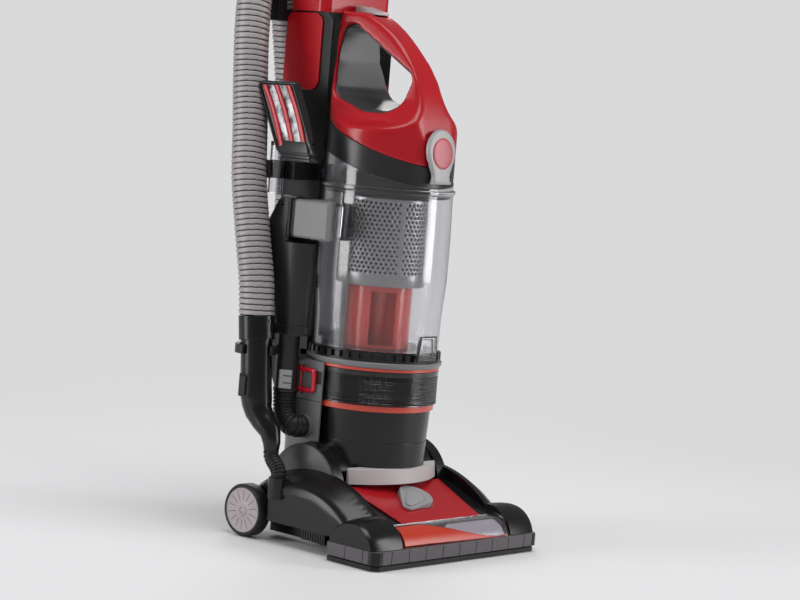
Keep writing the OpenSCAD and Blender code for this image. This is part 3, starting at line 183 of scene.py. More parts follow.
def surface_group():
    """Moulded surface: rounded edges, fine grain, slow colour and gloss changes, worn edges and dust."""
    group = bpy.data.node_groups.new("moulded_surface", "ShaderNodeTree")
    for name, kind, value in (
        ("Colour", "NodeSocketColor", (0.5, 0.5, 0.5, 1)), ("Roughness", "NodeSocketFloat", 0.4),
        ("Edge", "NodeSocketFloat", 0.0007), ("Grain size", "NodeSocketFloat", 900.0),
        ("Grain depth", "NodeSocketFloat", 0.1), ("Wear", "NodeSocketFloat", 0.2), ("Dust", "NodeSocketFloat", 0.05),
    ):
        group.interface.new_socket(name, in_out="INPUT", socket_type=kind).default_value = value
    for name, kind in (("Colour", "NodeSocketColor"), ("Roughness", "NodeSocketFloat"), ("Normal", "NodeSocketVector")):
        group.interface.new_socket(name, in_out="OUTPUT", socket_type=kind)
    node, link = group.nodes.new, group.links.new
    given, result = node("NodeGroupInput"), node("NodeGroupOutput")
    place = node("ShaderNodeTexCoord")
    slow, fine = node("ShaderNodeTexNoise"), node("ShaderNodeTexNoise")
    preset(slow, Scale=14, Detail=4)
    preset(fine, Detail=2)
    for texture in (slow, fine):
        link(place.outputs["Object"], texture.inputs["Vector"])
    link(given.outputs["Grain size"], fine.inputs["Scale"])
    rounded, bump = node("ShaderNodeBevel"), node("ShaderNodeBump")
    rounded.samples = 4
    link(given.outputs["Edge"], rounded.inputs["Radius"])
    preset(bump, Distance=0.0004)
    link(given.outputs["Grain depth"], bump.inputs["Strength"])
    link(fine.outputs["Fac"], bump.inputs["Height"])
    link(rounded.outputs["Normal"], bump.inputs["Normal"])
    link(bump.outputs["Normal"], result.inputs["Normal"])
    # Edges: where the rounded normal leaves the flat one
    facing, edge = node("ShaderNodeNewGeometry"), node("ShaderNodeVectorMath")
    edge.operation = "DOT_PRODUCT"
    link(rounded.outputs["Normal"], edge.inputs[0])
    link(facing.outputs["Normal"], edge.inputs[1])
    edge_mask = node("ShaderNodeMapRange")
    preset(edge_mask, From_Min=0.995, From_Max=0.8)
    link(edge.outputs["Value"], edge_mask.inputs["Value"])
    worn = node("ShaderNodeMath")
    worn.operation = "MULTIPLY"
    link(edge_mask.outputs["Result"], worn.inputs[0])
    link(given.outputs["Wear"], worn.inputs[1])
    shade = node("ShaderNodeMapRange")
    preset(shade, To_Min=0.88, To_Max=1.1)
    link(slow.outputs["Fac"], shade.inputs["Value"])
    tinted, edged, dusted = node("ShaderNodeVectorMath"), node("ShaderNodeMix"), node("ShaderNodeMix")
    tinted.operation = "SCALE"
    link(given.outputs["Colour"], tinted.inputs[0])
    link(shade.outputs["Result"], tinted.inputs["Scale"])
    edged.data_type = dusted.data_type = "RGBA"
    preset(edged, B=(0.75, 0.74, 0.73, 1))
    link(tinted.outputs["Vector"], edged.inputs["A"])
    link(worn.outputs["Value"], edged.inputs["Factor"])
    # Dust lies on what faces up
    upward, dust = node("ShaderNodeSeparateXYZ"), node("ShaderNodeMapRange")
    link(facing.outputs["Normal"], upward.inputs["Vector"])
    link(upward.outputs["Z"], dust.inputs["Value"])
    preset(dust, From_Min=0.3)
    link(given.outputs["Dust"], dust.inputs["To Max"])
    preset(dusted, B=(0.42, 0.4, 0.38, 1))
    link(edged.outputs["Result"], dusted.inputs["A"])
    link(dust.outputs["Result"], dusted.inputs["Factor"])
    link(dusted.outputs["Result"], result.inputs["Colour"])
    gloss, mix = node("ShaderNodeMapRange"), node("ShaderNodeMath")
    preset(gloss, To_Min=0.8, To_Max=1.25)
    mix.operation = "MULTIPLY"
    link(slow.outputs["Fac"], gloss.inputs["Value"])
    link(gloss.outputs["Result"], mix.inputs[0])
    link(given.outputs["Roughness"], mix.inputs[1])
    link(mix.outputs["Value"], result.inputs["Roughness"])
    return group


moulded_surface = surface_group()


def finish_of(name, colour, roughness, grain=0.1, size=900.0, edge=0.0007, wear=0.12, dust=0.03, **fixed):
    """A material on the moulded surface group. fixed holds plain values of the shader's own sockets."""
    material = bpy.data.materials.new(name)
    material.use_nodes = True
    tree = material.node_tree
    shader, surface = tree.nodes["Principled BSDF"], tree.nodes.new("ShaderNodeGroup")
    surface.node_tree = moulded_surface
    preset(
        surface, Colour=(*colour, 1), Roughness=roughness, Grain_depth=grain, Grain_size=size, Edge=edge, Wear=wear,
        Dust=dust,
    )
    for given, taken in (("Colour", "Base Color"), ("Roughness", "Roughness"), ("Normal", "Normal")):
        tree.links.new(surface.outputs[given], shader.inputs[taken])
    preset(shader, **fixed)
    return material


pale_vinyl = finish_of("pale_vinyl", (0.36, 0.33, 0.33), 0.34, grain=0.15, size=260, edge=0.0002, wear=0.0)
hose_wire = finish_of("hose_wire", (0.035, 0.028, 0.03), 0.5, edge=0.0002, wear=0.0)
stretch_route = [
    (-147, 166, 294.3), (-147, 171.5, 340), (-146, 186, 400), (-142.5, 204, 470), (-133, 220, 540),
    (-124, 236, 610), (-118, 246, 670), (-108, 254, 718), (-86, 261, 745), (-60, 265, 745), (-38, 266, 720),
    (-28, 265, 672), (-18, 263, 610), (-6, 262, 540), (0, 262, 470), (0, 262, 442), (0, 262, 396.3),
]
wound_hose(
    "stretch_hose_wound", stretch_route, [pale_vinyl, hose_wire], "upright", "hose_grey", "stretch_hose",
    crest=0.0236, depth=0.0022, bore=0.017, pitch=0.0074, across=(-0.3, 1, 0),
)


# ---- Sole plate, steel pins and brush bearings ----
# The sole plate is a black moulding screwed under the foot. The rear axles, the carriage pin and the
# pedal pin are ground steel, and the brush roll's ends turn in moulded blocks.
body_of_node = {n: b for b, ns in frame["record"]["behaviour"]["bodies"].items() for n in ns}
slot_of_node = {s["node"]: s["material_slot"] for s in frame["record"]["subparts"]}


def rounded(piece, edge, angle=30):
    """Rounds the edges that are sharper than angle, edge in millimetres."""
    rounding = piece.modifiers.new("rounded_edges", "BEVEL")
    rounding.width = edge / 1000
    rounding.segments = 2
    rounding.limit_method = "ANGLE"
    rounding.angle_limit = math.radians(angle)
    rounding.harden_normals = True
    return piece


def moulded(node, finish, edge, angle=34):
    """Stands for a solid with the same form and its sharp edges rounded, edge in millimetres."""
    mesh = frame["nodes"][node].data.copy()
    mesh.name = node + "_moulded"
    bm = bmesh.new()
    bm.from_mesh(mesh)
    bmesh.ops.remove_doubles(bm, verts=bm.verts, dist=2e-6)
    bmesh.ops.dissolve_limit(bm, angle_limit=math.radians(0.6), verts=bm.verts, edges=bm.edges)
    bm.to_mesh(mesh)
    bm.free()
    mesh.materials.clear()
    if mesh.has_custom_normals:
        mesh.attributes.remove(mesh.attributes["custom_normal"])
    mesh.shade_smooth()
    mesh.set_sharp_from_angle(angle=math.radians(angle))
    piece = new_piece(node + "_moulded", mesh, [finish], body_of_node[node], slot_of_node[node], node)
    return rounded(piece, edge, angle)


def refinish(node, finish):
    """A solid whose shape is right keeps its mesh and gets its finish."""
    mesh = frame["nodes"][node].data
    mesh.materials.clear()
    mesh.materials.append(finish)


grained_black = finish_of(
    "grained_black", (0.012, 0.012, 0.013), 0.48, grain=0.35, size=700, Specular_IOR_Level=0.35,
)
bearing_black = finish_of("bearing_black", (0.02, 0.02, 0.022), 0.42, grain=0.2)
ground_steel = finish_of("ground_steel", (0.6, 0.6, 0.62), 0.25, grain=0.1, wear=0.0, Metallic=1.0)
moulded("sole_plate", grained_black, edge=0.5)
refinish("foot_pins", ground_steel)
refinish("brush_bearings", bearing_black)

# ---- Brush roll and belt ----
# A dark red moulded core with two helical rows of stiff black nylon tufts, driven by a flat rubber belt
# from the motor's pulley.
core_red = finish_of("core_red", (0.2, 0.01, 0.012), 0.35)
belt_rubber = finish_of("belt_rubber", (0.018, 0.018, 0.018), 0.75, grain=0.4, size=500)
refinish("brush_core", core_red)
refinish("drive_belt", belt_rubber)
tuft_nylon = finish_of("tuft_nylon", (0.02, 0.02, 0.021), 0.45, edge=0.0001)
brush_axis, belt_x, belt_room = Vector((0, -0.052, 0.023)), 0.066, 0.013
half_row, last_tuft, row_turn, tuft_spread = 0.112, 49, 300, 0.0011
root_r, tip_r, flare = 0.0148, 0.0216, 2.1
filaments, filament_turn, filament_root, filament_tip = 7, 1.05, 0.00042, 0.0003
bm = bmesh.new()
for row in (0, 180):
    for i in range(last_tuft + 1):
        x = -half_row + i * 2 * half_row / last_tuft
        if abs(x - belt_x) < belt_room:
            continue
        turn = Matrix.Rotation(math.radians(row + row_turn * i / last_tuft), 4, "X")
        for k in range(filaments):
            spread = 0 if k == 0 else tuft_spread
            root = Vector((spread * math.cos(k * filament_turn), spread * math.sin(k * filament_turn), root_r))
            tip = Vector((flare * root.x, flare * root.y, tip_r))
            ring = []
            for point, radius in ((root, filament_root), (tip, filament_tip)):
                ways = [Vector((math.cos(2 * math.pi * s / 5), math.sin(2 * math.pi * s / 5), 0)) for s in range(5)]
                middle = brush_axis + Vector((x, 0, 0))
                ring.append([bm.verts.new(middle + turn @ (point + radius * way)) for way in ways])
            for s in range(5):
                bm.faces.new((ring[0][s], ring[0][(s + 1) % 5], ring[1][(s + 1) % 5], ring[1][s]))
            bm.faces.new(ring[1])
            bm.faces.new(ring[0][::-1])
tuft_mesh = bpy.data.meshes.new("brush_tufts")
bm.to_mesh(tuft_mesh)
bm.free()
new_piece("brush_tufts", tuft_mesh, [tuft_nylon], "brush", "bristle_black", "brush_bristles")

# ---- Foot housing, guard, deck panel and nozzle window ----
# One glossy black moulding with tall wheel covers and rounded nozzle ends. The grooved guard strip
# clips along its front, the red panel lies on its deck, and the clear window closes the brush chamber.
polished_black = finish_of(
    "polished_black", (0.006, 0.006, 0.007), 0.24, grain=0.03, wear=0.06, dust=0.01, Specular_IOR_Level=0.4,
)
satin_grey = finish_of("satin_grey", (0.1, 0.09, 0.1), 0.42, grain=0.2, Specular_IOR_Level=0.35)
cover_grey = finish_of("cover_grey", (0.06, 0.06, 0.064), 0.4, grain=0.25, Specular_IOR_Level=0.35)
soft_black = finish_of(
    "soft_black", (0.01, 0.01, 0.011), 0.5, grain=0.2, size=400, edge=0.0002, wear=0.0, Specular_IOR_Level=0.4,
)
panel_red = finish_of(
    "panel_red", (0.42, 0.008, 0.014), 0.2, grain=0.03, wear=0.05, dust=0.01, Specular_IOR_Level=0.35,
)
moulded("foot_housing", polished_black, edge=0.9)
moulded("guard_strip", satin_grey, edge=0.5)
moulded("top_panel", panel_red, edge=0.6)


def mesh_of(name, bm, angle=34, place=None):
    """The form as a mesh, its faces turned outward, shaded smooth but for the edges sharper than angle."""
    bmesh.ops.recalc_face_normals(bm, faces=bm.faces)
    if place:
        bmesh.ops.transform(bm, matrix=place, verts=bm.verts)
    mesh = bpy.data.meshes.new(name)
    bm.to_mesh(mesh)
    bm.free()
    mesh.shade_smooth()
    mesh.set_sharp_from_angle(angle=math.radians(angle))
    return mesh


def lofted(name, rings, finish, body, slot, *nodes, angle=34, place=None, endless=False):
    """A form through rings of as many points each, in millimetres. It is capped at both ends or, where it is
    endless, goes on from its last ring to its first."""
    bm = bmesh.new()
    rings = [[bm.verts.new([v / 1000 for v in p]) for p in ring] for ring in rings]
    for ring, after in zip(rings, rings[1:] + (rings[:1] if endless else [])):
        for k in range(len(ring)):
            n = (k + 1) % len(ring)
            bm.faces.new((ring[k], ring[n], after[n], after[k]))
    if not endless:
        bm.faces.new(rings[0][::-1])
        bm.faces.new(rings[-1])
    return new_piece(name, mesh_of(name, bm, angle, place), [finish], body, slot, *nodes)


def prism(name, outline, low, high, finish, body, slot, edge=0.4, place=None):
    """A flat outline in millimetres drawn out from low to high, with its edges rounded."""
    rings = [[(x, y, z) for x, y in outline] for z in (low, high)]
    return rounded(lofted(name, rings, finish, body, slot, place=place), edge)


corner_outline = [(161.2, -82), (163.1, -82), (163.1, -87.4), (154.9, -95.6), (149, -95.6), (149, -93.5)]
for side, name in ((-1, "left"), (1, "right")):
    prism(
        "guard_corner_" + name, [(side * x, y) for x, y in corner_outline], 8.4, 24.8,
        soft_black, "foot", "black_plastic",
    )
moulded("trunnion_covers", cover_grey, edge=0.5)


def clear_finish(name, colour, roughness):
    """Clear moulding: one plain colour, and a gloss that changes slowly over the surface."""
    material = finish_of(
        name, colour, roughness, grain=0.015, size=60, edge=0.0005,
        Base_Color=(*colour, 1), Transmission_Weight=1, IOR=1.5,
    )
    tree = material.node_tree
    tree.links.remove(tree.nodes["Principled BSDF"].inputs["Base Color"].links[0])
    return material


clear_window = clear_finish("clear_window", (0.86, 0.84, 0.87), 0.08)
refinish("nozzle_window", clear_window)

# ---- Red film on the window and a pale sheet of painted reflection behind it ----
# A printed film on the window's outside: full height at its left, falling to a thin line above the guard
# at its right. A pale sheet inside the window beside it paints the window's glossy reflection.
film_red = finish_of("film_red", (0.52, 0.04, 0.018), 0.2, grain=0.03, wear=0.0, Specular_IOR_Level=0.4)
painted_reflection_pale = finish_of("painted_reflection_pale", (0.5, 0.47, 0.52), 0.3, grain=0.05, wear=0.0)


def curved_sheet(name, x0, x1, radius, low, top_at, finish, slot):
    """A sheet bent round the window's middle, from an angle low up to top_at(part of its width)."""
    middle, across_steps, arc_steps = Vector((0, -0.062, 0.022)), 72, 14
    points, quads = [], []
    for i in range(across_steps + 1):
        top = top_at(i / across_steps)
        for k in range(arc_steps + 1):
            a = math.radians(low + (top - low) * k / arc_steps)
            x = x0 + (x1 - x0) * i / across_steps
            points.append(middle + Vector((x, -radius * math.cos(a), radius * math.sin(a))))
    for i in range(across_steps):
        for k in range(arc_steps):
            a = i * (arc_steps + 1) + k
            quads.append((a, a + arc_steps + 1, a + arc_steps + 2, a + 1))
    mesh = bpy.data.meshes.new(name)
    mesh.from_pydata(points, [], quads)
    mesh.shade_smooth()
    sheet = new_piece(name, mesh, [finish], "foot", slot)
    thickness = sheet.modifiers.new("thickness", "SOLIDIFY")
    thickness.thickness = 0.0001


curved_sheet(
    "window_film", -0.1045, 0.1045, 0.02812, 7.2,
    lambda part: 9.5 + 69 * max(0.0, 1 - max(0.0, part - 0.24) / 0.66) ** 1.5, film_red, "panel_red",
)
# A pale sheet inside the window: painted reflection, not a part of the foot
curved_sheet(
    "window_painted_reflection", -0.03, 0.098, 0.0247, 10,
    lambda part: 12 + 56 * min(1.0, 5 * part, 12 * (1 - part)) ** 0.6, painted_reflection_pale, "body_grey",
)

# ---- Hose boot, carriage, rollers, knob and pedal ----
# The soft ribbed boot joins the foot's port to the hose tube. The knob's cam lifts the carriage with its
# two rollers, and the pedal at the rear right lets the body recline.
knob_grey = finish_of("knob_grey", (0.33, 0.33, 0.34), 0.35, grain=0.15)
boot_route = [
    (-147, 102, 88), (-147, 102.6, 94), (-147, 107, 101), (-147, 114, 107.5), (-147, 118.4, 114), (-147, 119, 120.2),
]
hose_boot = wound_hose(
    "hose_boot_ribbed", boot_route, [soft_black], None, "soft_rubber", "hose_boot",
    crest=0.0102, depth=0.0022, bore=0.0066, pitch=0.0034, across=(1, 0, 0),
)
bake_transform(hose_boot)
moulded("roller_carriage", grained_black, edge=0.4)
moulded("front_rollers", grained_black, edge=0.8)
moulded("height_knob", knob_grey, edge=0.8)
moulded("recline_pedal", cover_grey, edge=0.8)

# ---- Rear wheels ----
# Two-part wheels outside the wheel covers: a pinkish grey moulded hub with radial marks and a small cap
# over its axle's end, and a hard black tyre snapped round it.
hub_grey = finish_of("hub_grey", (0.4, 0.345, 0.36), 0.4, grain=0.15, wear=0.03)
tyre_black = finish_of("tyre_black", (0.012, 0.012, 0.013), 0.45, grain=0.25, Specular_IOR_Level=0.35)


def turned(name, centre, profile, finish, body, slot, *nodes, sides=96, place=None, fold=0):
    """A ring turned about an upright axis. The profile is closed and holds (radius, height) in millimetres.
    Where fold is given, every other point of the round lies that much further in, as pleats do."""
    turns = [(2 * math.pi * k / sides, fold * (k % 2)) for k in range(sides)]
    rings = [
        [(centre[0] + (r - inset) * math.cos(a), centre[1] + (r - inset) * math.sin(a), z) for a, inset in turns]
        for r, z in profile
    ]
    return lofted(name, rings, finish, body, slot, *nodes, place=place, endless=True)


mark_grey = finish_of("mark_grey", (0.07, 0.06, 0.065), 0.5, wear=0.0)
wheel_face_x, axle_y, axle_z, mark_count = 0.1572, 0.155, 0.035, 14
hub_profile = [
    (4.2, -19), (9.8, -20.8), (10.2, -19.8), (10.4, -12.4), (25.5, -12.2), (26, -18), (29.7, -18.2), (30, -17.8),
    (30, -1.6), (29.6, -0.9), (28.2, -0.6), (27.6, -1.2), (26.8, -1.4), (8.2, -1.3), (7.6, -1.0), (7.2, -0.2),
    (6.4, 0), (4.2, 0),
]
cap_profile = [(0.05, -0.5), (3.6, -0.5), (4.15, -1.2), (4.15, -3), (0.05, -3)]
mark_outline = [(13.5, -0.45), (26.2, -0.35), (26.2, 0.35), (13.5, 0.45)]
for side, name in ((-1, "left"), (1, "right")):
    axle = Matrix.Translation((side * wheel_face_x, axle_y, axle_z)) @ Matrix.Rotation(side * math.pi / 2, 4, "Y")
    body = "wheel_" + name
    turned(
        "wheel_hub_" + name + "_turned", (0, 0), hub_profile, hub_grey, body, "silver_plastic", "wheel_hub_" + name,
        place=axle,
    )
    turned("wheel_cap_" + name, (0, 0), cap_profile, hub_grey, body, "silver_plastic", sides=48, place=axle)
    for k in range(mark_count):
        prism(
            "wheel_mark_%s_%d" % (name, k), mark_outline, -1.6, -1.22, mark_grey, body, "guard_grey", edge=0.1,
            place=axle @ Matrix.Rotation(2 * math.pi * k / mark_count, 4, "Z"),
        )
    moulded("wheel_tyre_" + name, tyre_black, edge=0.8)

# ---- Motor housing, silver apron and light grey rear body ----
# The black housing holds the motor between the foot's ears. The silver apron is clipped under its
# front, and the grey rear body wraps it from behind up to the deck ring.
apron_silver = finish_of("apron_silver", (0.5, 0.455, 0.455), 0.42, grain=0.15, dust=0.0)
body_grey = finish_of("body_grey", (0.15, 0.15, 0.155), 0.32, grain=0.12)
moulded("motor_housing", polished_black, edge=0.8)
moulded("front_apron", apron_silver, edge=0.5)
moulded("rear_body", body_grey, edge=0.9)
# A thin black patch on the rear body beside the bail: painted shade standing for the bail's recess
prism(
    "bail_recess_painted_shade", [(-91.5, 91.6), (-90.6, 91.6), (-90.6, 106.5), (-91.5, 106.5)], 209.5, 227,
    soft_black, "upright", "black_plastic",
)
seam_outline = [(91.12, 90.4), (90.7, 90.4), (90.7, 138.5), (91.12, 138.5)]
for side, name in ((-1, "left"), (1, "right")):
    prism(
        "body_seam_" + name, [(side * x, y) for x, y in seam_outline], 186.1, 187,
        soft_black, "upright", "black_plastic", edge=0.1,
    )

# ---- Motor inside: can, bearings, armature, fan and exhaust filter ----
# The pressed steel can holds the varnished armature, with the belt's pulley on its end, in two bearings.
# The pressed alloy fan is on the same shaft. Pleated filter paper between two rims lies round the can's top.
pressed_steel = finish_of("pressed_steel", (0.45, 0.45, 0.47), 0.35, wear=0.0, Metallic=1.0)
varnished_copper = finish_of("varnished_copper", (0.35, 0.15, 0.06), 0.35, wear=0.0, Metallic=0.6)
fan_alloy = finish_of("fan_alloy", (0.6, 0.6, 0.62), 0.3, wear=0.0, Metallic=1.0)
filter_paper = finish_of("filter_paper", (0.8, 0.78, 0.72), 0.9, grain=0.6, size=1500, wear=0.0)
refinish("motor_can", pressed_steel)
refinish("shaft_bearings", ground_steel)
refinish("armature", varnished_copper)
refinish("fan", fan_alloy)
cup_axis = (0, 84)
filter_foot, filter_head = [1000 * corner.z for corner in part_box("exhaust_filter")]
paper_foot, paper_head = filter_foot + 0.8, filter_head - 0.8
turned(
    "exhaust_filter_paper", cup_axis, [(79, paper_foot), (79, paper_head), (78.2, paper_head), (78.2, paper_foot)],
    filter_paper, "upright", "filter_white", "exhaust_filter", sides=144, fold=10,
)
for name, z0, z1 in (("foot", filter_foot, filter_foot + 1.2), ("head", filter_head - 1.2, filter_head)):
    turned(
        "exhaust_filter_" + name, cup_axis,
        [(64.4, z0), (79.4, z0), (79.8, z0 + 0.3), (79.8, z1 - 0.3), (79.4, z1), (64.4, z1)],
        grained_black, "upright", "black_plastic",
    )

# ---- Filter cover with its orange rings and red bail ----
# A smoke-tinted ring with fine ribs, between two orange trim rings. The red bail on the left, one round
# rod bent to a C on its pin, is the pull that lets the filter out.
smoke_clear = clear_finish("smoke_clear", (0.2, 0.2, 0.21), 0.16)
trim_orange = finish_of("trim_orange", (0.6, 0.06, 0.03), 0.25, wear=0.0, Coat_Weight=0.3)
bail_red = finish_of("bail_red", (0.55, 0.008, 0.02), 0.22, wear=0.0, Coat_Weight=0.3)
rib_count, rib_steps, rib_height, ribs_foot, ribs_length = 10.5, 80, 0.75, 191.6, 38
cover_profile = [(84.2, 235.7), (84.2, 190.3), (87.2, 190.3), (87.9, 190.9)]
for k in range(rib_steps + 1):
    crest = math.cos(2 * math.pi * k * rib_count / rib_steps)
    cover_profile.append((87.15 - rib_height * crest, ribs_foot + ribs_length * k / rib_steps))
cover_profile += [(87.9, 231.6), (87.9, 235), (87.2, 235.7)]
turned(
    "filter_cover_ribbed", cup_axis, cover_profile, smoke_clear, "upright", "smoke_plastic", "filter_cover",
    sides=128,
)
moulded("trim_rings", trim_orange, edge=0.4)
bail_route = [
    (-93.6, 129, 199.4), (-94, 118, 199.4), (-94, 108, 199.4), (-94, 103.8, 200.6), (-94, 102.6, 204.5),
    (-94, 102.6, 213), (-94, 102.6, 221.5), (-94, 103.8, 225.4), (-94, 108, 226.6), (-94, 118, 226.6),
    (-93.6, 129, 226.6),
]
wound_hose(
    "filter_bail_rod", bail_route, [bail_red], "bail", "panel_red", "filter_bail",
    crest=0.0031, depth=0, bore=0.0006, pitch=0.01, across=(1, 0, 0), sides=20,
)
turned(
    "filter_bail_pin", (-94, 127), [(0.1, 188.6), (1.45, 188.6), (1.45, 237), (0.1, 237)],
    bail_red, "bail", "panel_red", sides=24,
)

# ---- Deck ring ----
# The grey moulded ring on top of the rear body, screwed down from inside. The dirt cup's door stands on it.
deck_grey = finish_of("deck_grey", (0.19, 0.19, 0.2), 0.33, grain=0.1)
moulded("deck_ring", deck_grey, edge=0.6)

# ---- Spine, red side panels and hood ----
# The spine is a tall black box moulding that holds the cup from behind. Two red panels are clipped to
# its sides, and the red hood closes its top.
spine_black = finish_of(
    "spine_black", (0.01, 0.01, 0.011), 0.3, grain=0.1, wear=0.06, dust=0.01, Specular_IOR_Level=0.35,
)
moulded("spine", spine_black, edge=0.8)
moulded("spine_panels", panel_red, edge=0.8)
moulded("hood", panel_red, edge=1.4)
moulded("lower_cord_hook", grained_black, edge=0.8)

# ---- Loop handle, switch and upper cord hook ----
# A moulded loop grip on a flat neck. The rocker switch sits in the neck's front, and the cord hook
# turns on its back.
grip_black = finish_of("grip_black", (0.02, 0.02, 0.022), 0.4, grain=0.25, size=600)
switch_red = finish_of("switch_red", (0.5, 0.02, 0.02), 0.3)
moulded("loop_handle", grip_black, edge=0.8)
moulded("power_switch", switch_red, edge=0.5)
moulded("upper_cord_hook", grained_black, edge=0.8)

# ---- Duct, its seal, lower hose and hose tube ----
# The black duct carries the air from the lower hose to the cup's inlet box, against a double black
# seal, and a silver clamp closes round its foot. The rigid tube stands in the boot under the hose's cuff.
seal_rubber = finish_of("seal_rubber", (0.015, 0.015, 0.016), 0.6, grain=0.2)
duct_black = finish_of("duct_black", (0.014, 0.014, 0.015), 0.4, grain=0.05, wear=0.05, Specular_IOR_Level=0.5)
moulded("duct", duct_black, edge=2.2, angle=30)
moulded("inlet_seal", seal_rubber, edge=0.8)
clamp_silver = finish_of("clamp_silver", (0.36, 0.36, 0.37), 0.35, grain=0.1, wear=0.03)
clamp_place = Matrix.Translation((-0.107, 0.142, 0)) @ Matrix.Rotation(math.radians(222), 4, "Z")
prism(
    "duct_clamp", [(13.5, -9), (17.2, -8), (17.2, 8), (13.5, 9)], 200, 225,
    clamp_silver, "upright", "silver_plastic", edge=0.8, place=clamp_place,
)
for k in range(2):
    slot_foot = 207 + 9.5 * k
    prism(
        "duct_clamp_slot_%d" % k, [(17, -3), (17.3, -3), (17.3, 8.1), (17, 8.1)], slot_foot, slot_foot + 1.4,
        soft_black, "upright", "black_plastic", edge=0.1, place=clamp_place,
    )
lower_route = [
    (-107, 142, 194.2), (-107, 141.9, 186), (-108, 139, 170), (-110, 131, 157), (-108.5, 121.5, 151.8),
    (-102, 118.2, 151), (-95.2, 118, 151),
]
wound_hose(
    "lower_hose_ribbed", lower_route, [soft_black], "upright", "soft_rubber", "lower_hose",
    crest=0.015, depth=0.0022, bore=0.011, pitch=0.0046, across=(0.2, 1, 0.6),
)
moulded("hose_tube", polished_black, edge=0.6, angle=50)
moulded("hose_cuff", polished_black, edge=0.8)
moulded("hose_release", grained_black, edge=0.8)

# ---- Dirt cup: clear wall, toothed door and its latch ----
# Clear polycarbonate, a little narrower at its foot, with a thick rim. The black door has a ring of
# teeth round its edge, and the clear pull at its front has black rims.
clear_cup = clear_finish("clear_cup", (0.88, 0.88, 0.9), 0.09)
moulded("cup_shell", clear_cup, edge=0.4)
moulded("cup_door", polished_black, edge=0.4)
moulded("door_latch", clear_window, edge=0.8)
pull_low, pull_high = [1000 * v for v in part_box("door_latch")]
bend_room = 1.5
for name, y, grow in (("front", pull_low.y + 0.6, 0.0), ("back", pull_low.y + 5, -3.4)):
    corners = [
        (-18.4 - grow, pull_low.z + 0.7 - grow), (18.4 + grow, pull_low.z + 0.7 - grow),
        (14.6 + grow, pull_high.z - 0.7 + grow), (-14.6 - grow, pull_high.z - 0.7 + grow),
    ]
    loop = [(0, y, corners[0][1])]
    for i in (1, 2, 3, 0):
        here, last, after = Vector(corners[i]), Vector(corners[i - 1]), Vector(corners[(i + 1) % 4])
        into, out = here + (last - here).normalized() * bend_room, here + (after - here).normalized() * bend_room
        loop += [(p.x, y, p.y) for p in (into, here, out)]
    loop.append(loop[0])
    wound_hose(
        "door_latch_rim_" + name, loop, [soft_black], "door_catch", "black_plastic",
        crest=0.0009, depth=0, bore=0.0002, pitch=0.01, across=(0, 1, 0), sides=10,
    )

# ---- Cyclone, shroud and pre-filter ----
# The orange-red cyclone tubes stand on the door. The silver shroud above them is one perforated sheet over
# a dark lining. It hangs from a black plate, and a dark foam ring lies on its flange.
cyclone_red = finish_of("cyclone_red", (0.75, 0.045, 0.022), 0.22, grain=0.03, wear=0.0, Coat_Weight=0.3)
shroud_silver = finish_of("shroud_silver", (0.3, 0.295, 0.295), 0.3, grain=0.05, wear=0.0, edge=0.0002, Metallic=0.9)
foam_grey = finish_of("foam_grey", (0.02, 0.02, 0.022), 0.95, grain=0.9, size=1200, wear=0.0)
lining_black = finish_of("lining_black", (0.006, 0.006, 0.006), 0.8, grain=0.8, size=1800, wear=0.0)
moulded("cyclone_body", cyclone_red, edge=0.5)
moulded("pre_filter", foam_grey, edge=2.0)
shroud_r, hole_pitch, hole_r = 0.0598, 0.0066, 0.00175
around = round(2 * math.pi * shroud_r / hole_pitch)
step = 2 * math.pi * shroud_r / around
row_step = step * math.sqrt(3) / 2
first_row, rows = 0.3642, 17


def is_plain(bearing, height):
    """Where the screen is left whole: beside the inlet and in upright bands between the fields of holes."""
    return height > 0.404 and 100 < bearing < 172 or any(
        a < bearing < b for a, b in ((41, 49), (84, 100), (241, 249), (286, 300), (341, 349))
    )


bm = bmesh.new()
for row in range(rows):
    for column in range(around):
        u0 = (column + row % 2 / 2) * step
        z0 = first_row + row * row_step
        rim, hole = [], []
        for k in range(12):
            a = math.radians(30 * k + 30)
            reach = step / math.sqrt(3) * (1 if k % 2 == 0 else math.sqrt(3) / 2)
            rim.append(bm.verts.new((u0 + reach * math.cos(a), reach * math.sin(a) + z0, 0)))
            hole.append(bm.verts.new((u0 + hole_r * math.cos(a), z0 + hole_r * math.sin(a), 0)))
        for k in range(12):
            n = (k + 1) % 12
            bm.faces.new((rim[k], rim[n], hole[n], hole[k]))
        if is_plain(math.degrees(u0 / shroud_r) % 360, z0):
            bm.faces.new(hole)
bmesh.ops.remove_doubles(bm, verts=bm.verts, dist=1e-5)
length = around * step
for vertex in bm.verts:
    vertex.co.x %= length
    if length - vertex.co.x < 1e-5:
        vertex.co.x = 0
bmesh.ops.remove_doubles(bm, verts=bm.verts, dist=1e-5)
for vertex in bm.verts:
    bearing = vertex.co.x / shroud_r
    vertex.co = Vector((shroud_r * math.cos(bearing), shroud_r * math.sin(bearing), vertex.co.y))


def carried_on(low, high, moves):
    """Carries the screen's open edge between two heights on through rings of (radius, height)."""
    edges = [e for e in bm.edges if e.is_boundary and all(low < v.co.z < high for v in e.verts)]
    for radius, height in moves:
        grown = bmesh.ops.extrude_edge_only(bm, edges=edges)["geom"]
        for vertex in [g for g in grown if isinstance(g, bmesh.types.BMVert)]:
            vertex.co.xy *= radius / vertex.co.xy.length
            vertex.co.z = height
        edges = [g for g in grown if isinstance(g, bmesh.types.BMEdge) and g.is_boundary]


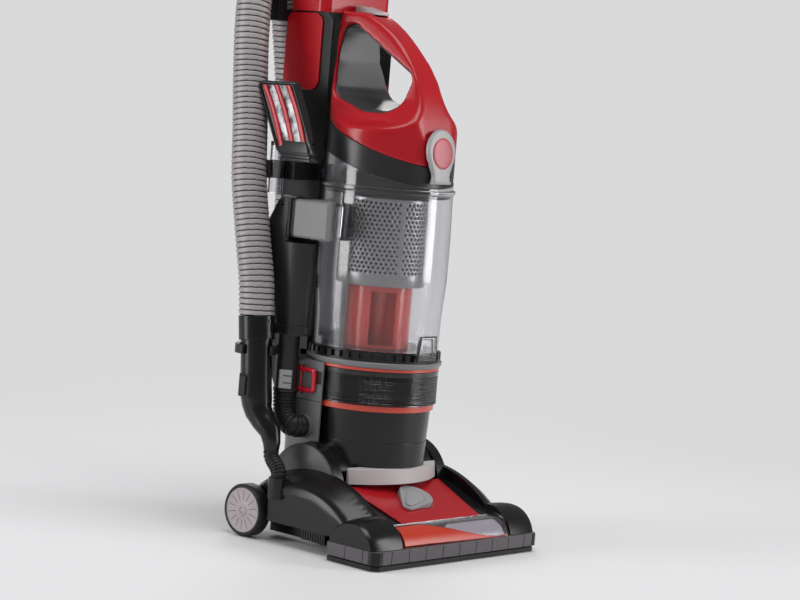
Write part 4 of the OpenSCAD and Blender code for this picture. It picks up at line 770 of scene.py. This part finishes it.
below_rows, above_rows = first_row - 0.0018, first_row + (rows - 1) * row_step + 0.0018
screen_foot = [(0.0598, 0.3594), (0.0598, 0.3468), (0.0594, 0.3456), (0.0582, 0.3452), (0.0453, 0.3452)]
carried_on(0, below_rows, screen_foot)
carried_on(above_rows, 1, [(0.0598, 0.461), (0.0598, 0.4648)])
shroud_mesh = mesh_of("shroud_perforated", bm, 50, Matrix.Translation((0, 0.084, 0)))
shroud = new_piece("shroud_perforated", shroud_mesh, [shroud_silver], "cup", "body_grey", "shroud_screen")
shroud_wall = shroud.modifiers.new("wall", "SOLIDIFY")
shroud_wall.thickness = 0.0012
shroud_wall.offset = -1
turned(
    "shroud_plate", cup_axis,
    [(54, 465.1), (80, 465.1), (83.2, 466.4), (84.2, 467.6), (84.2, 470.4), (83.4, 471), (54, 471)],
    soft_black, "cup", "black_plastic",
)
turned(
    "shroud_lining", cup_axis, [(56.6, 348.8), (57.4, 348.8), (57.4, 464.6), (56.6, 464.6)],
    lining_black, "cup", "foam_grey",
)

# ---- Lid: black band, red carrying handle, liner and inlet box ----
# The lid closes the cup in two colours: a dark band cut at a slant, and the red arch above it with a
# dark liner inside. The grey inlet box on the left meets the duct's seal.
lid_black = finish_of(
    "lid_black", (0.018, 0.018, 0.02), 0.3, grain=0.06, wear=0.04, dust=0.01, Specular_IOR_Level=0.45,
)
lid_red = finish_of(
    "lid_red", (0.42, 0.008, 0.014), 0.24, grain=0.04, wear=0.0, dust=0.01, Specular_IOR_Level=0.4,
)
liner_grey = finish_of("liner_grey", (0.035, 0.035, 0.038), 0.28, grain=0.1, wear=0.0)
box_grey = finish_of("box_grey", (0.2, 0.2, 0.205), 0.36, grain=0.2)
moulded("lid_band", lid_black, edge=0.5)


def softened(node, finish, voxel, rounds, cuts):
    """Stands for a solid whose edges flow into each other. rounds are (passes, weight of a point in
    millimetres), cuts are planes as (point, direction to keep), which make the joint faces true again."""
    mesh = frame["nodes"][node].data.copy()
    mesh.materials.clear()
    piece = new_piece(node + "_softened", mesh, [], body_of_node[node], slot_of_node[node], node)
    grid = piece.modifiers.new("grid", "REMESH")
    grid.mode = "VOXEL"
    grid.voxel_size = voxel / 1000
    for passes, weight_at in [(0, None)] + rounds:
        if passes:
            group = piece.vertex_groups.new(name="soft")
            for vertex in piece.data.vertices:
                group.add([vertex.index], weight_at(vertex.co * 1000), "REPLACE")
            soft = piece.modifiers.new("soft", "SMOOTH")
            soft.factor = 0.5
            soft.iterations = passes
            soft.vertex_group = group.name
        made = bpy.data.meshes.new_from_object(piece.evaluated_get(bpy.context.evaluated_depsgraph_get()))
        piece.modifiers.clear()
        piece.vertex_groups.clear()
        piece.data = made
    bm = bmesh.new()
    bm.from_mesh(piece.data)
    for point, keep in cuts:
        whole = bm.verts[:] + bm.edges[:] + bm.faces[:]
        plane = {"plane_co": Vector(point) / 1000, "plane_no": Vector(keep)}
        bmesh.ops.bisect_plane(bm, geom=whole, clear_inner=True, **plane)
        bmesh.ops.holes_fill(bm, edges=[e for e in bm.edges if e.is_boundary])
    bm.to_mesh(piece.data)
    bm.free()
    piece.data.name = node + "_softened"
    piece.data.materials.clear()
    piece.data.materials.append(finish)
    piece.data.shade_smooth()
    piece.data.set_sharp_from_angle(angle=math.radians(40))
    return piece


def ramp(value, low, high):
    """0 below low, 1 above high, smooth between."""
    t = min(1, max(0, (value - low) / (high - low)))
    return t * t * (3 - 2 * t)


grip_circles = [(143, 674, 14), (137, 640, 20.5), (125, 610, 25), (90, 595, 22), (68, 600, 27), (56, 616, 18)]
band_slant = math.radians(20)
band_up = Vector((0, -math.sin(band_slant), math.cos(band_slant)))


def from_opening(p):
    """Distance from the edge of the handle's opening."""
    nearest = 999
    for (y0, z0, r0), (y1, z1, r1) in zip(grip_circles, grip_circles[1:] + grip_circles[:1]):
        for k in range(5):
            t = k / 5
            reach = math.hypot(p.y - y0 - (y1 - y0) * t, p.z - z0 - (z1 - z0) * t)
            nearest = min(nearest, reach - r0 - (r1 - r0) * t)
    return nearest


def free_to_move(p):
    """0 at the joint faces, the latch's room and the button's pocket."""
    over_band = (p - Vector((0, -2, 507.1))).dot(band_up)
    latch = max(abs(p.x) - 25, abs(p.z - 557) - 14, p.y - 8)
    button = max(abs(p.x) - 13.4, abs(p.y - 139) - 19.4, 696 - p.z)
    return ramp(over_band, 1.5, 8) * ramp(162.8 - p.y, 1, 6) * ramp(latch, 1, 7) * ramp(button, 0.5, 4)


softened(
    "lid_handle", lid_red, 1.6,
    [(16, free_to_move), (70, lambda p: free_to_move(p) * ramp(from_opening(p), 9, 17))],
    [((0, -2, 507.9), band_up)],
)
liner = moulded("handle_liner", liner_grey, edge=0.8)
liner_inset = 0.0052
for vertex in liner.data.vertices:
    if abs(vertex.co.x) > 0.008:
        vertex.co.x -= math.copysign(liner_inset, vertex.co.x)
moulded("inlet_box", box_grey, edge=0.9)

# ---- Lid latch and cup button ----
# A silver moulded paddle hangs from its pin at the lid's front, with a plain pink disc let into a red
# rim. The grey button on top of the arch lets the cup go.
latch_silver = finish_of("latch_silver", (0.38, 0.37, 0.37), 0.34, grain=0.1, wear=0.04)
inset_pink = finish_of("inset_pink", (0.5, 0.11, 0.13), 0.34, grain=0.3, size=500, wear=0.0)


def oval(x, y, across, high, angles):
    """Points of an oval about (x, y), at the angles given in degrees."""
    return [(x + across * math.cos(math.radians(a)), y + high * math.sin(math.radians(a))) for a in angles]


def drawn_in(outline, inset):
    """A flat outline, turning left, moved inward by inset."""
    moved = []
    for i, p in enumerate(outline):
        way = Vector(outline[(i + 1) % len(outline)]) - Vector(outline[i - 1])
        moved.append((p[0] - inset * way[1] / way.length, p[1] + inset * way[0] / way.length))
    return moved


pin_y, pin_z, paddle_lean = -0.8, 554, math.radians(-5)


def on_paddle(outline, profile):
    """Rings of a form on the latch, hung from its pin and leaning out at its foot. The outline is (x, z) and
    the profile holds (how far drawn in, y), both from the pin."""
    c, s = math.cos(paddle_lean), math.sin(paddle_lean)
    return [
        [(x, pin_y + y * c - z * s, pin_z + y * s + z * c) for x, z in drawn_in(outline, inset)]
        for inset, y in profile
    ]


paddle = [(-18, -68), (18, -68), (17, -63), (15.8, -58), (17, -53), (21, -45)]
paddle += oval(0, -24.5, 27, 28.6, range(-36, 217, 7)) + [(-21, -45), (-17, -53), (-15.8, -58), (-17, -63)]
rim_outline = oval(0, -27.5, 19.8, 20.6, range(0, 360, 6))
paddle_profile = [(3, 2.4), (0.8, 2.2), (0, 1.2), (0, -1.8), (0.7, -3.2), (2.2, -4), (4.2, -4.2)]
rim_profile = [(0, -3.6), (0, -4.35), (0.4, -4.5), (9, -4.5)]
disc_profile = [(0, -3.6), (0, -4.4), (0.7, -5), (2.6, -5.3), (9, -5.7), (17, -5.8)]
lofted(
    "lid_latch_moulded", on_paddle(paddle, paddle_profile), latch_silver, "lid_catch", "silver_plastic",
    "lid_latch",
)
lofted("lid_latch_rim", on_paddle(rim_outline, rim_profile), lid_red, "lid_catch", "panel_red")
lofted(
    "lid_latch_inset", on_paddle(drawn_in(rim_outline, 0.9), disc_profile), inset_pink, "lid_catch", "panel_red",
)
for half, r in ((11, 2.9), (11.6, 1.9)):
    circle = oval(pin_y, pin_z, r, r, range(0, 360, 12))
    lofted(
        "lid_latch_pin_%d" % half, [[(x, *p) for p in circle] for x in (-half, half)],
        latch_silver, "lid_catch", "silver_plastic",
    )
moulded("cup_button", latch_silver, edge=0.8)

# ---- Stored tool ----
# A dark moulded nozzle with three red bars across its open face and streaky clear panels between them. Its
# collar sits on a clear neck, which clips into an arm of the spine.
tool_black = finish_of("tool_black", (0.012, 0.012, 0.013), 0.26, grain=0.06, Specular_IOR_Level=0.45)
tool_clear = clear_finish("tool_clear", (0.9, 0.9, 0.92), 0.06)
bar_red = finish_of("bar_red", (0.42, 0.012, 0.02), 0.24, grain=0.05, wear=0.0, Specular_IOR_Level=0.4)
panel_clear = finish_of("panel_clear", (0.5, 0.5, 0.52), 0.12, grain=0.02, wear=0.0)
tree = panel_clear.node_tree
node, link = tree.nodes.new, tree.links.new
streaks, shades, where = node("ShaderNodeTexNoise"), node("ShaderNodeValToRGB"), node("ShaderNodeTexCoord")
preset(streaks, Scale=46, Detail=2)
dark, pale = shades.color_ramp.elements
dark.position, dark.color = 0.43, (0.07, 0.072, 0.08, 1)
pale.position, pale.color = 0.56, (0.66, 0.66, 0.68, 1)
link(where.outputs["Object"], streaks.inputs["Vector"])
link(streaks.outputs["Fac"], shades.inputs["Fac"])
link(shades.outputs["Color"], tree.nodes["Principled BSDF"].inputs["Base Color"])
head_corners = [Vector(p) for p in ((167, 517.5), (204.5, 596), (156, 598), (121.5, 525))]
corner_r = 7
head_outline = []
for way in map(Vector, oval(0, 0, 1, 1, range(0, 360, 3))):
    point = max(head_corners, key=lambda corner: corner.dot(way)) + corner_r * way
    head_outline.append((point.x, point.y))


back_x, head_back_y, head_depth = -114, 209, 95


def turned_face(x, y, z):
    """Thins the tool's head towards its front edge, so that its open face turns forward."""
    return (back_x + (x - back_x) * (1 - 0.5 * (head_back_y - y) / head_depth), y, z)


head_profile = [
    (6.8, -130.4), (5.2, -130.4), (4.8, -131.6), (4.2, -133), (3.2, -133.7), (2, -133.4), (0.8, -132.2), (0, -130),
    (0, -117), (0.6, -115.2), (2, -114.1), (6, -114),
]
head_rings = [[turned_face(x, *p) for p in drawn_in(head_outline, inset)] for inset, x in head_profile]
lofted("tool_head_frame", head_rings, tool_black, "tool", "black_plastic", "tool_head")


def across_head(part, rise):
    """A point of the tool's open face, part of the way from its back to its front edge, low to high."""
    low = Vector((168, 516.5)).lerp(Vector((120.5, 524)), part)
    high = Vector((205.5, 598)).lerp(Vector((154, 600)), part)
    bow = 2.6 * math.sin(math.pi * rise)
    point = low.lerp(high, rise)
    return point.x - bow * 0.9, point.y + bow * 0.4


inner_x, bar_x, panel_x = -130.2, -134, -131.8
for name, back, front, outer_x, finish, slot in (
    ("bar_back", 0.03, 0.18, bar_x, bar_red, "panel_red"), ("bar_middle", 0.41, 0.56, bar_x, bar_red, "panel_red"),
    ("bar_front", 0.8, 0.95, bar_x, bar_red, "panel_red"),
    ("panel_back", 0.18, 0.41, panel_x, panel_clear, "silver_plastic"),
    ("panel_front", 0.56, 0.8, panel_x, panel_clear, "silver_plastic"),
):
    rings = []
    for k in range(17):
        rise = 0.01 + 0.98 * k / 16
        (y0, z0), (y1, z1) = across_head(back, rise), across_head(front, rise)
        rings.append([
            turned_face(x, y0 + part * (y1 - y0), z0 + part * (z1 - z0)) for part, x in (
                (0, inner_x), (0, outer_x + 0.5), (0.14, outer_x), (0.5, outer_x - 0.15), (0.86, outer_x),
                (1, outer_x + 0.5), (1, inner_x),
            )
        ])
    lofted("tool_head_" + name, rings, finish, "tool", slot, angle=50)
collar_outline = oval(-24, 0, 9, 9, range(90, 271, 12)) + oval(24, 0, 9, 9, range(-90, 91, 12))
collar_profile = [
    (0.6, 501.5), (0, 502.2), (0, 504.6), (1, 505.4), (2, 506), (2, 509.4), (1, 510), (0.2, 510.6), (0.2, 512.4),
    (1.4, 513.4), (1.6, 519), (2.4, 524), (3.4, 527),
]
collar_rings = [
    [(-122 + x, 137 + (z - 508) * 0.5 + y, z) for y, x in drawn_in(collar_outline, inset)]
    for inset, z in collar_profile
]
lofted("tool_collar", collar_rings, tool_black, "tool", "black_plastic")
refinish("tool_neck", tool_clear)

# ---- Floor, backdrop and light ----
# A plain pale floor fades into the pale room. A tall soft box stands at either side of the machine, a
# broad one hangs overhead and one stands behind. The room is paler to look at than it is as a light.
backdrop_mesh = bpy.data.meshes.new("pale_floor")
half = 14.0
backdrop_mesh.from_pydata([(-half, -half, 0), (half, -half, 0), (half, half, 0), (-half, half, 0)], [], [(0, 1, 2, 3)])
room_pale = (0.7, 0.7, 0.71, 1)
floor_pale = bpy.data.materials.new("floor_pale")
floor_pale.use_nodes = True
tree = floor_pale.node_tree
floor_shader = tree.nodes["Principled BSDF"]
preset(floor_shader, Base_Color=(0.8, 0.8, 0.81, 1), Roughness=0.75, Specular_IOR_Level=0.2)


def seen_directly(tree, gloss):
    """1 for what the camera sees, straight or through clear plastic, and gloss of it in a reflection."""
    node, link = tree.nodes.new, tree.links.new
    rays = node("ShaderNodeLightPath")
    part, either, any_ray = (node("ShaderNodeMath") for _ in range(3))
    part.operation = "MULTIPLY"
    part.inputs[1].default_value = gloss
    either.operation = any_ray.operation = "MAXIMUM"
    link(rays.outputs["Is Glossy Ray"], part.inputs[0])
    link(rays.outputs["Is Camera Ray"], either.inputs[0])
    link(part.outputs["Value"], either.inputs[1])
    link(either.outputs["Value"], any_ray.inputs[0])
    link(rays.outputs["Is Transmission Ray"], any_ray.inputs[1])
    return any_ray.outputs["Value"]


seen_in_gloss = 0.1
node, link = tree.nodes.new, tree.links.new
away, fade, faded = node("ShaderNodeVectorMath"), node("ShaderNodeMapRange"), node("ShaderNodeMath")
spot, glow, blend = node("ShaderNodeTexCoord"), node("ShaderNodeEmission"), node("ShaderNodeMixShader")
away.operation = "LENGTH"
fade.interpolation_type = "SMOOTHSTEP"
faded.operation = "MULTIPLY"
preset(fade, From_Min=0.5, From_Max=1.9)
preset(glow, Color=room_pale)
link(spot.outputs["Object"], away.inputs[0])
link(away.outputs["Value"], fade.inputs["Value"])
link(fade.outputs["Result"], faded.inputs[0])
link(seen_directly(tree, seen_in_gloss), faded.inputs[1])
link(faded.outputs["Value"], blend.inputs["Fac"])
link(floor_shader.outputs["BSDF"], blend.inputs[1])
link(glow.outputs["Emission"], blend.inputs[2])
link(blend.outputs["Shader"], tree.nodes["Material Output"].inputs["Surface"])
backdrop_mesh.materials.append(floor_pale)
floor = placed("pale_floor", backdrop_mesh)
floor.location.z = -0.0005
world = bpy.data.worlds.new("pale_room")
bpy.context.scene.world = world
world.use_nodes = True
room = world.node_tree
node, link = room.nodes.new, room.links.new
lit, seen, pick = room.nodes["Background"], node("ShaderNodeBackground"), node("ShaderNodeMixShader")
kinds, strength = node("ShaderNodeLightPath"), node("ShaderNodeMath")
strength.operation = "MULTIPLY_ADD"
strength.inputs[1].default_value = -0.4
strength.inputs[2].default_value = 0.62
preset(lit, Color=(0.5, 0.5, 0.51, 1))
preset(seen, Color=room_pale)
link(kinds.outputs["Is Glossy Ray"], strength.inputs[0])
link(strength.outputs["Value"], lit.inputs["Strength"])
link(seen_directly(room, seen_in_gloss), pick.inputs["Fac"])
link(lit.outputs["Background"], pick.inputs[1])
link(seen.outputs["Background"], pick.inputs[2])
link(pick.outputs["Shader"], room.nodes["World Output"].inputs["Surface"])
machine_middle = Vector((0, 0.08, 0.45))
for name, place, size, power in (
    ("left_strip", (-2.3, 1.3, 0.9), (0.9, 1.9), 32),
    ("right_strip", (1.7, -2.0, 0.9), (0.9, 1.9), 32),
    ("top_box", (-0.3, -0.5, 2.6), (1.5, 1.5), 30),
    ("back_box", (1.6, 1.9, 1.6), (1.2, 1.2), 16),
):
    soft = bpy.data.lights.new(name, "AREA")
    soft.shape = "RECTANGLE"
    soft.size, soft.size_y = size
    soft.energy = power
    lamp = placed(name, soft)
    lamp.location = place
    lamp.rotation_euler = (machine_middle - Vector(place)).to_track_quat("-Z", "Y").to_euler()
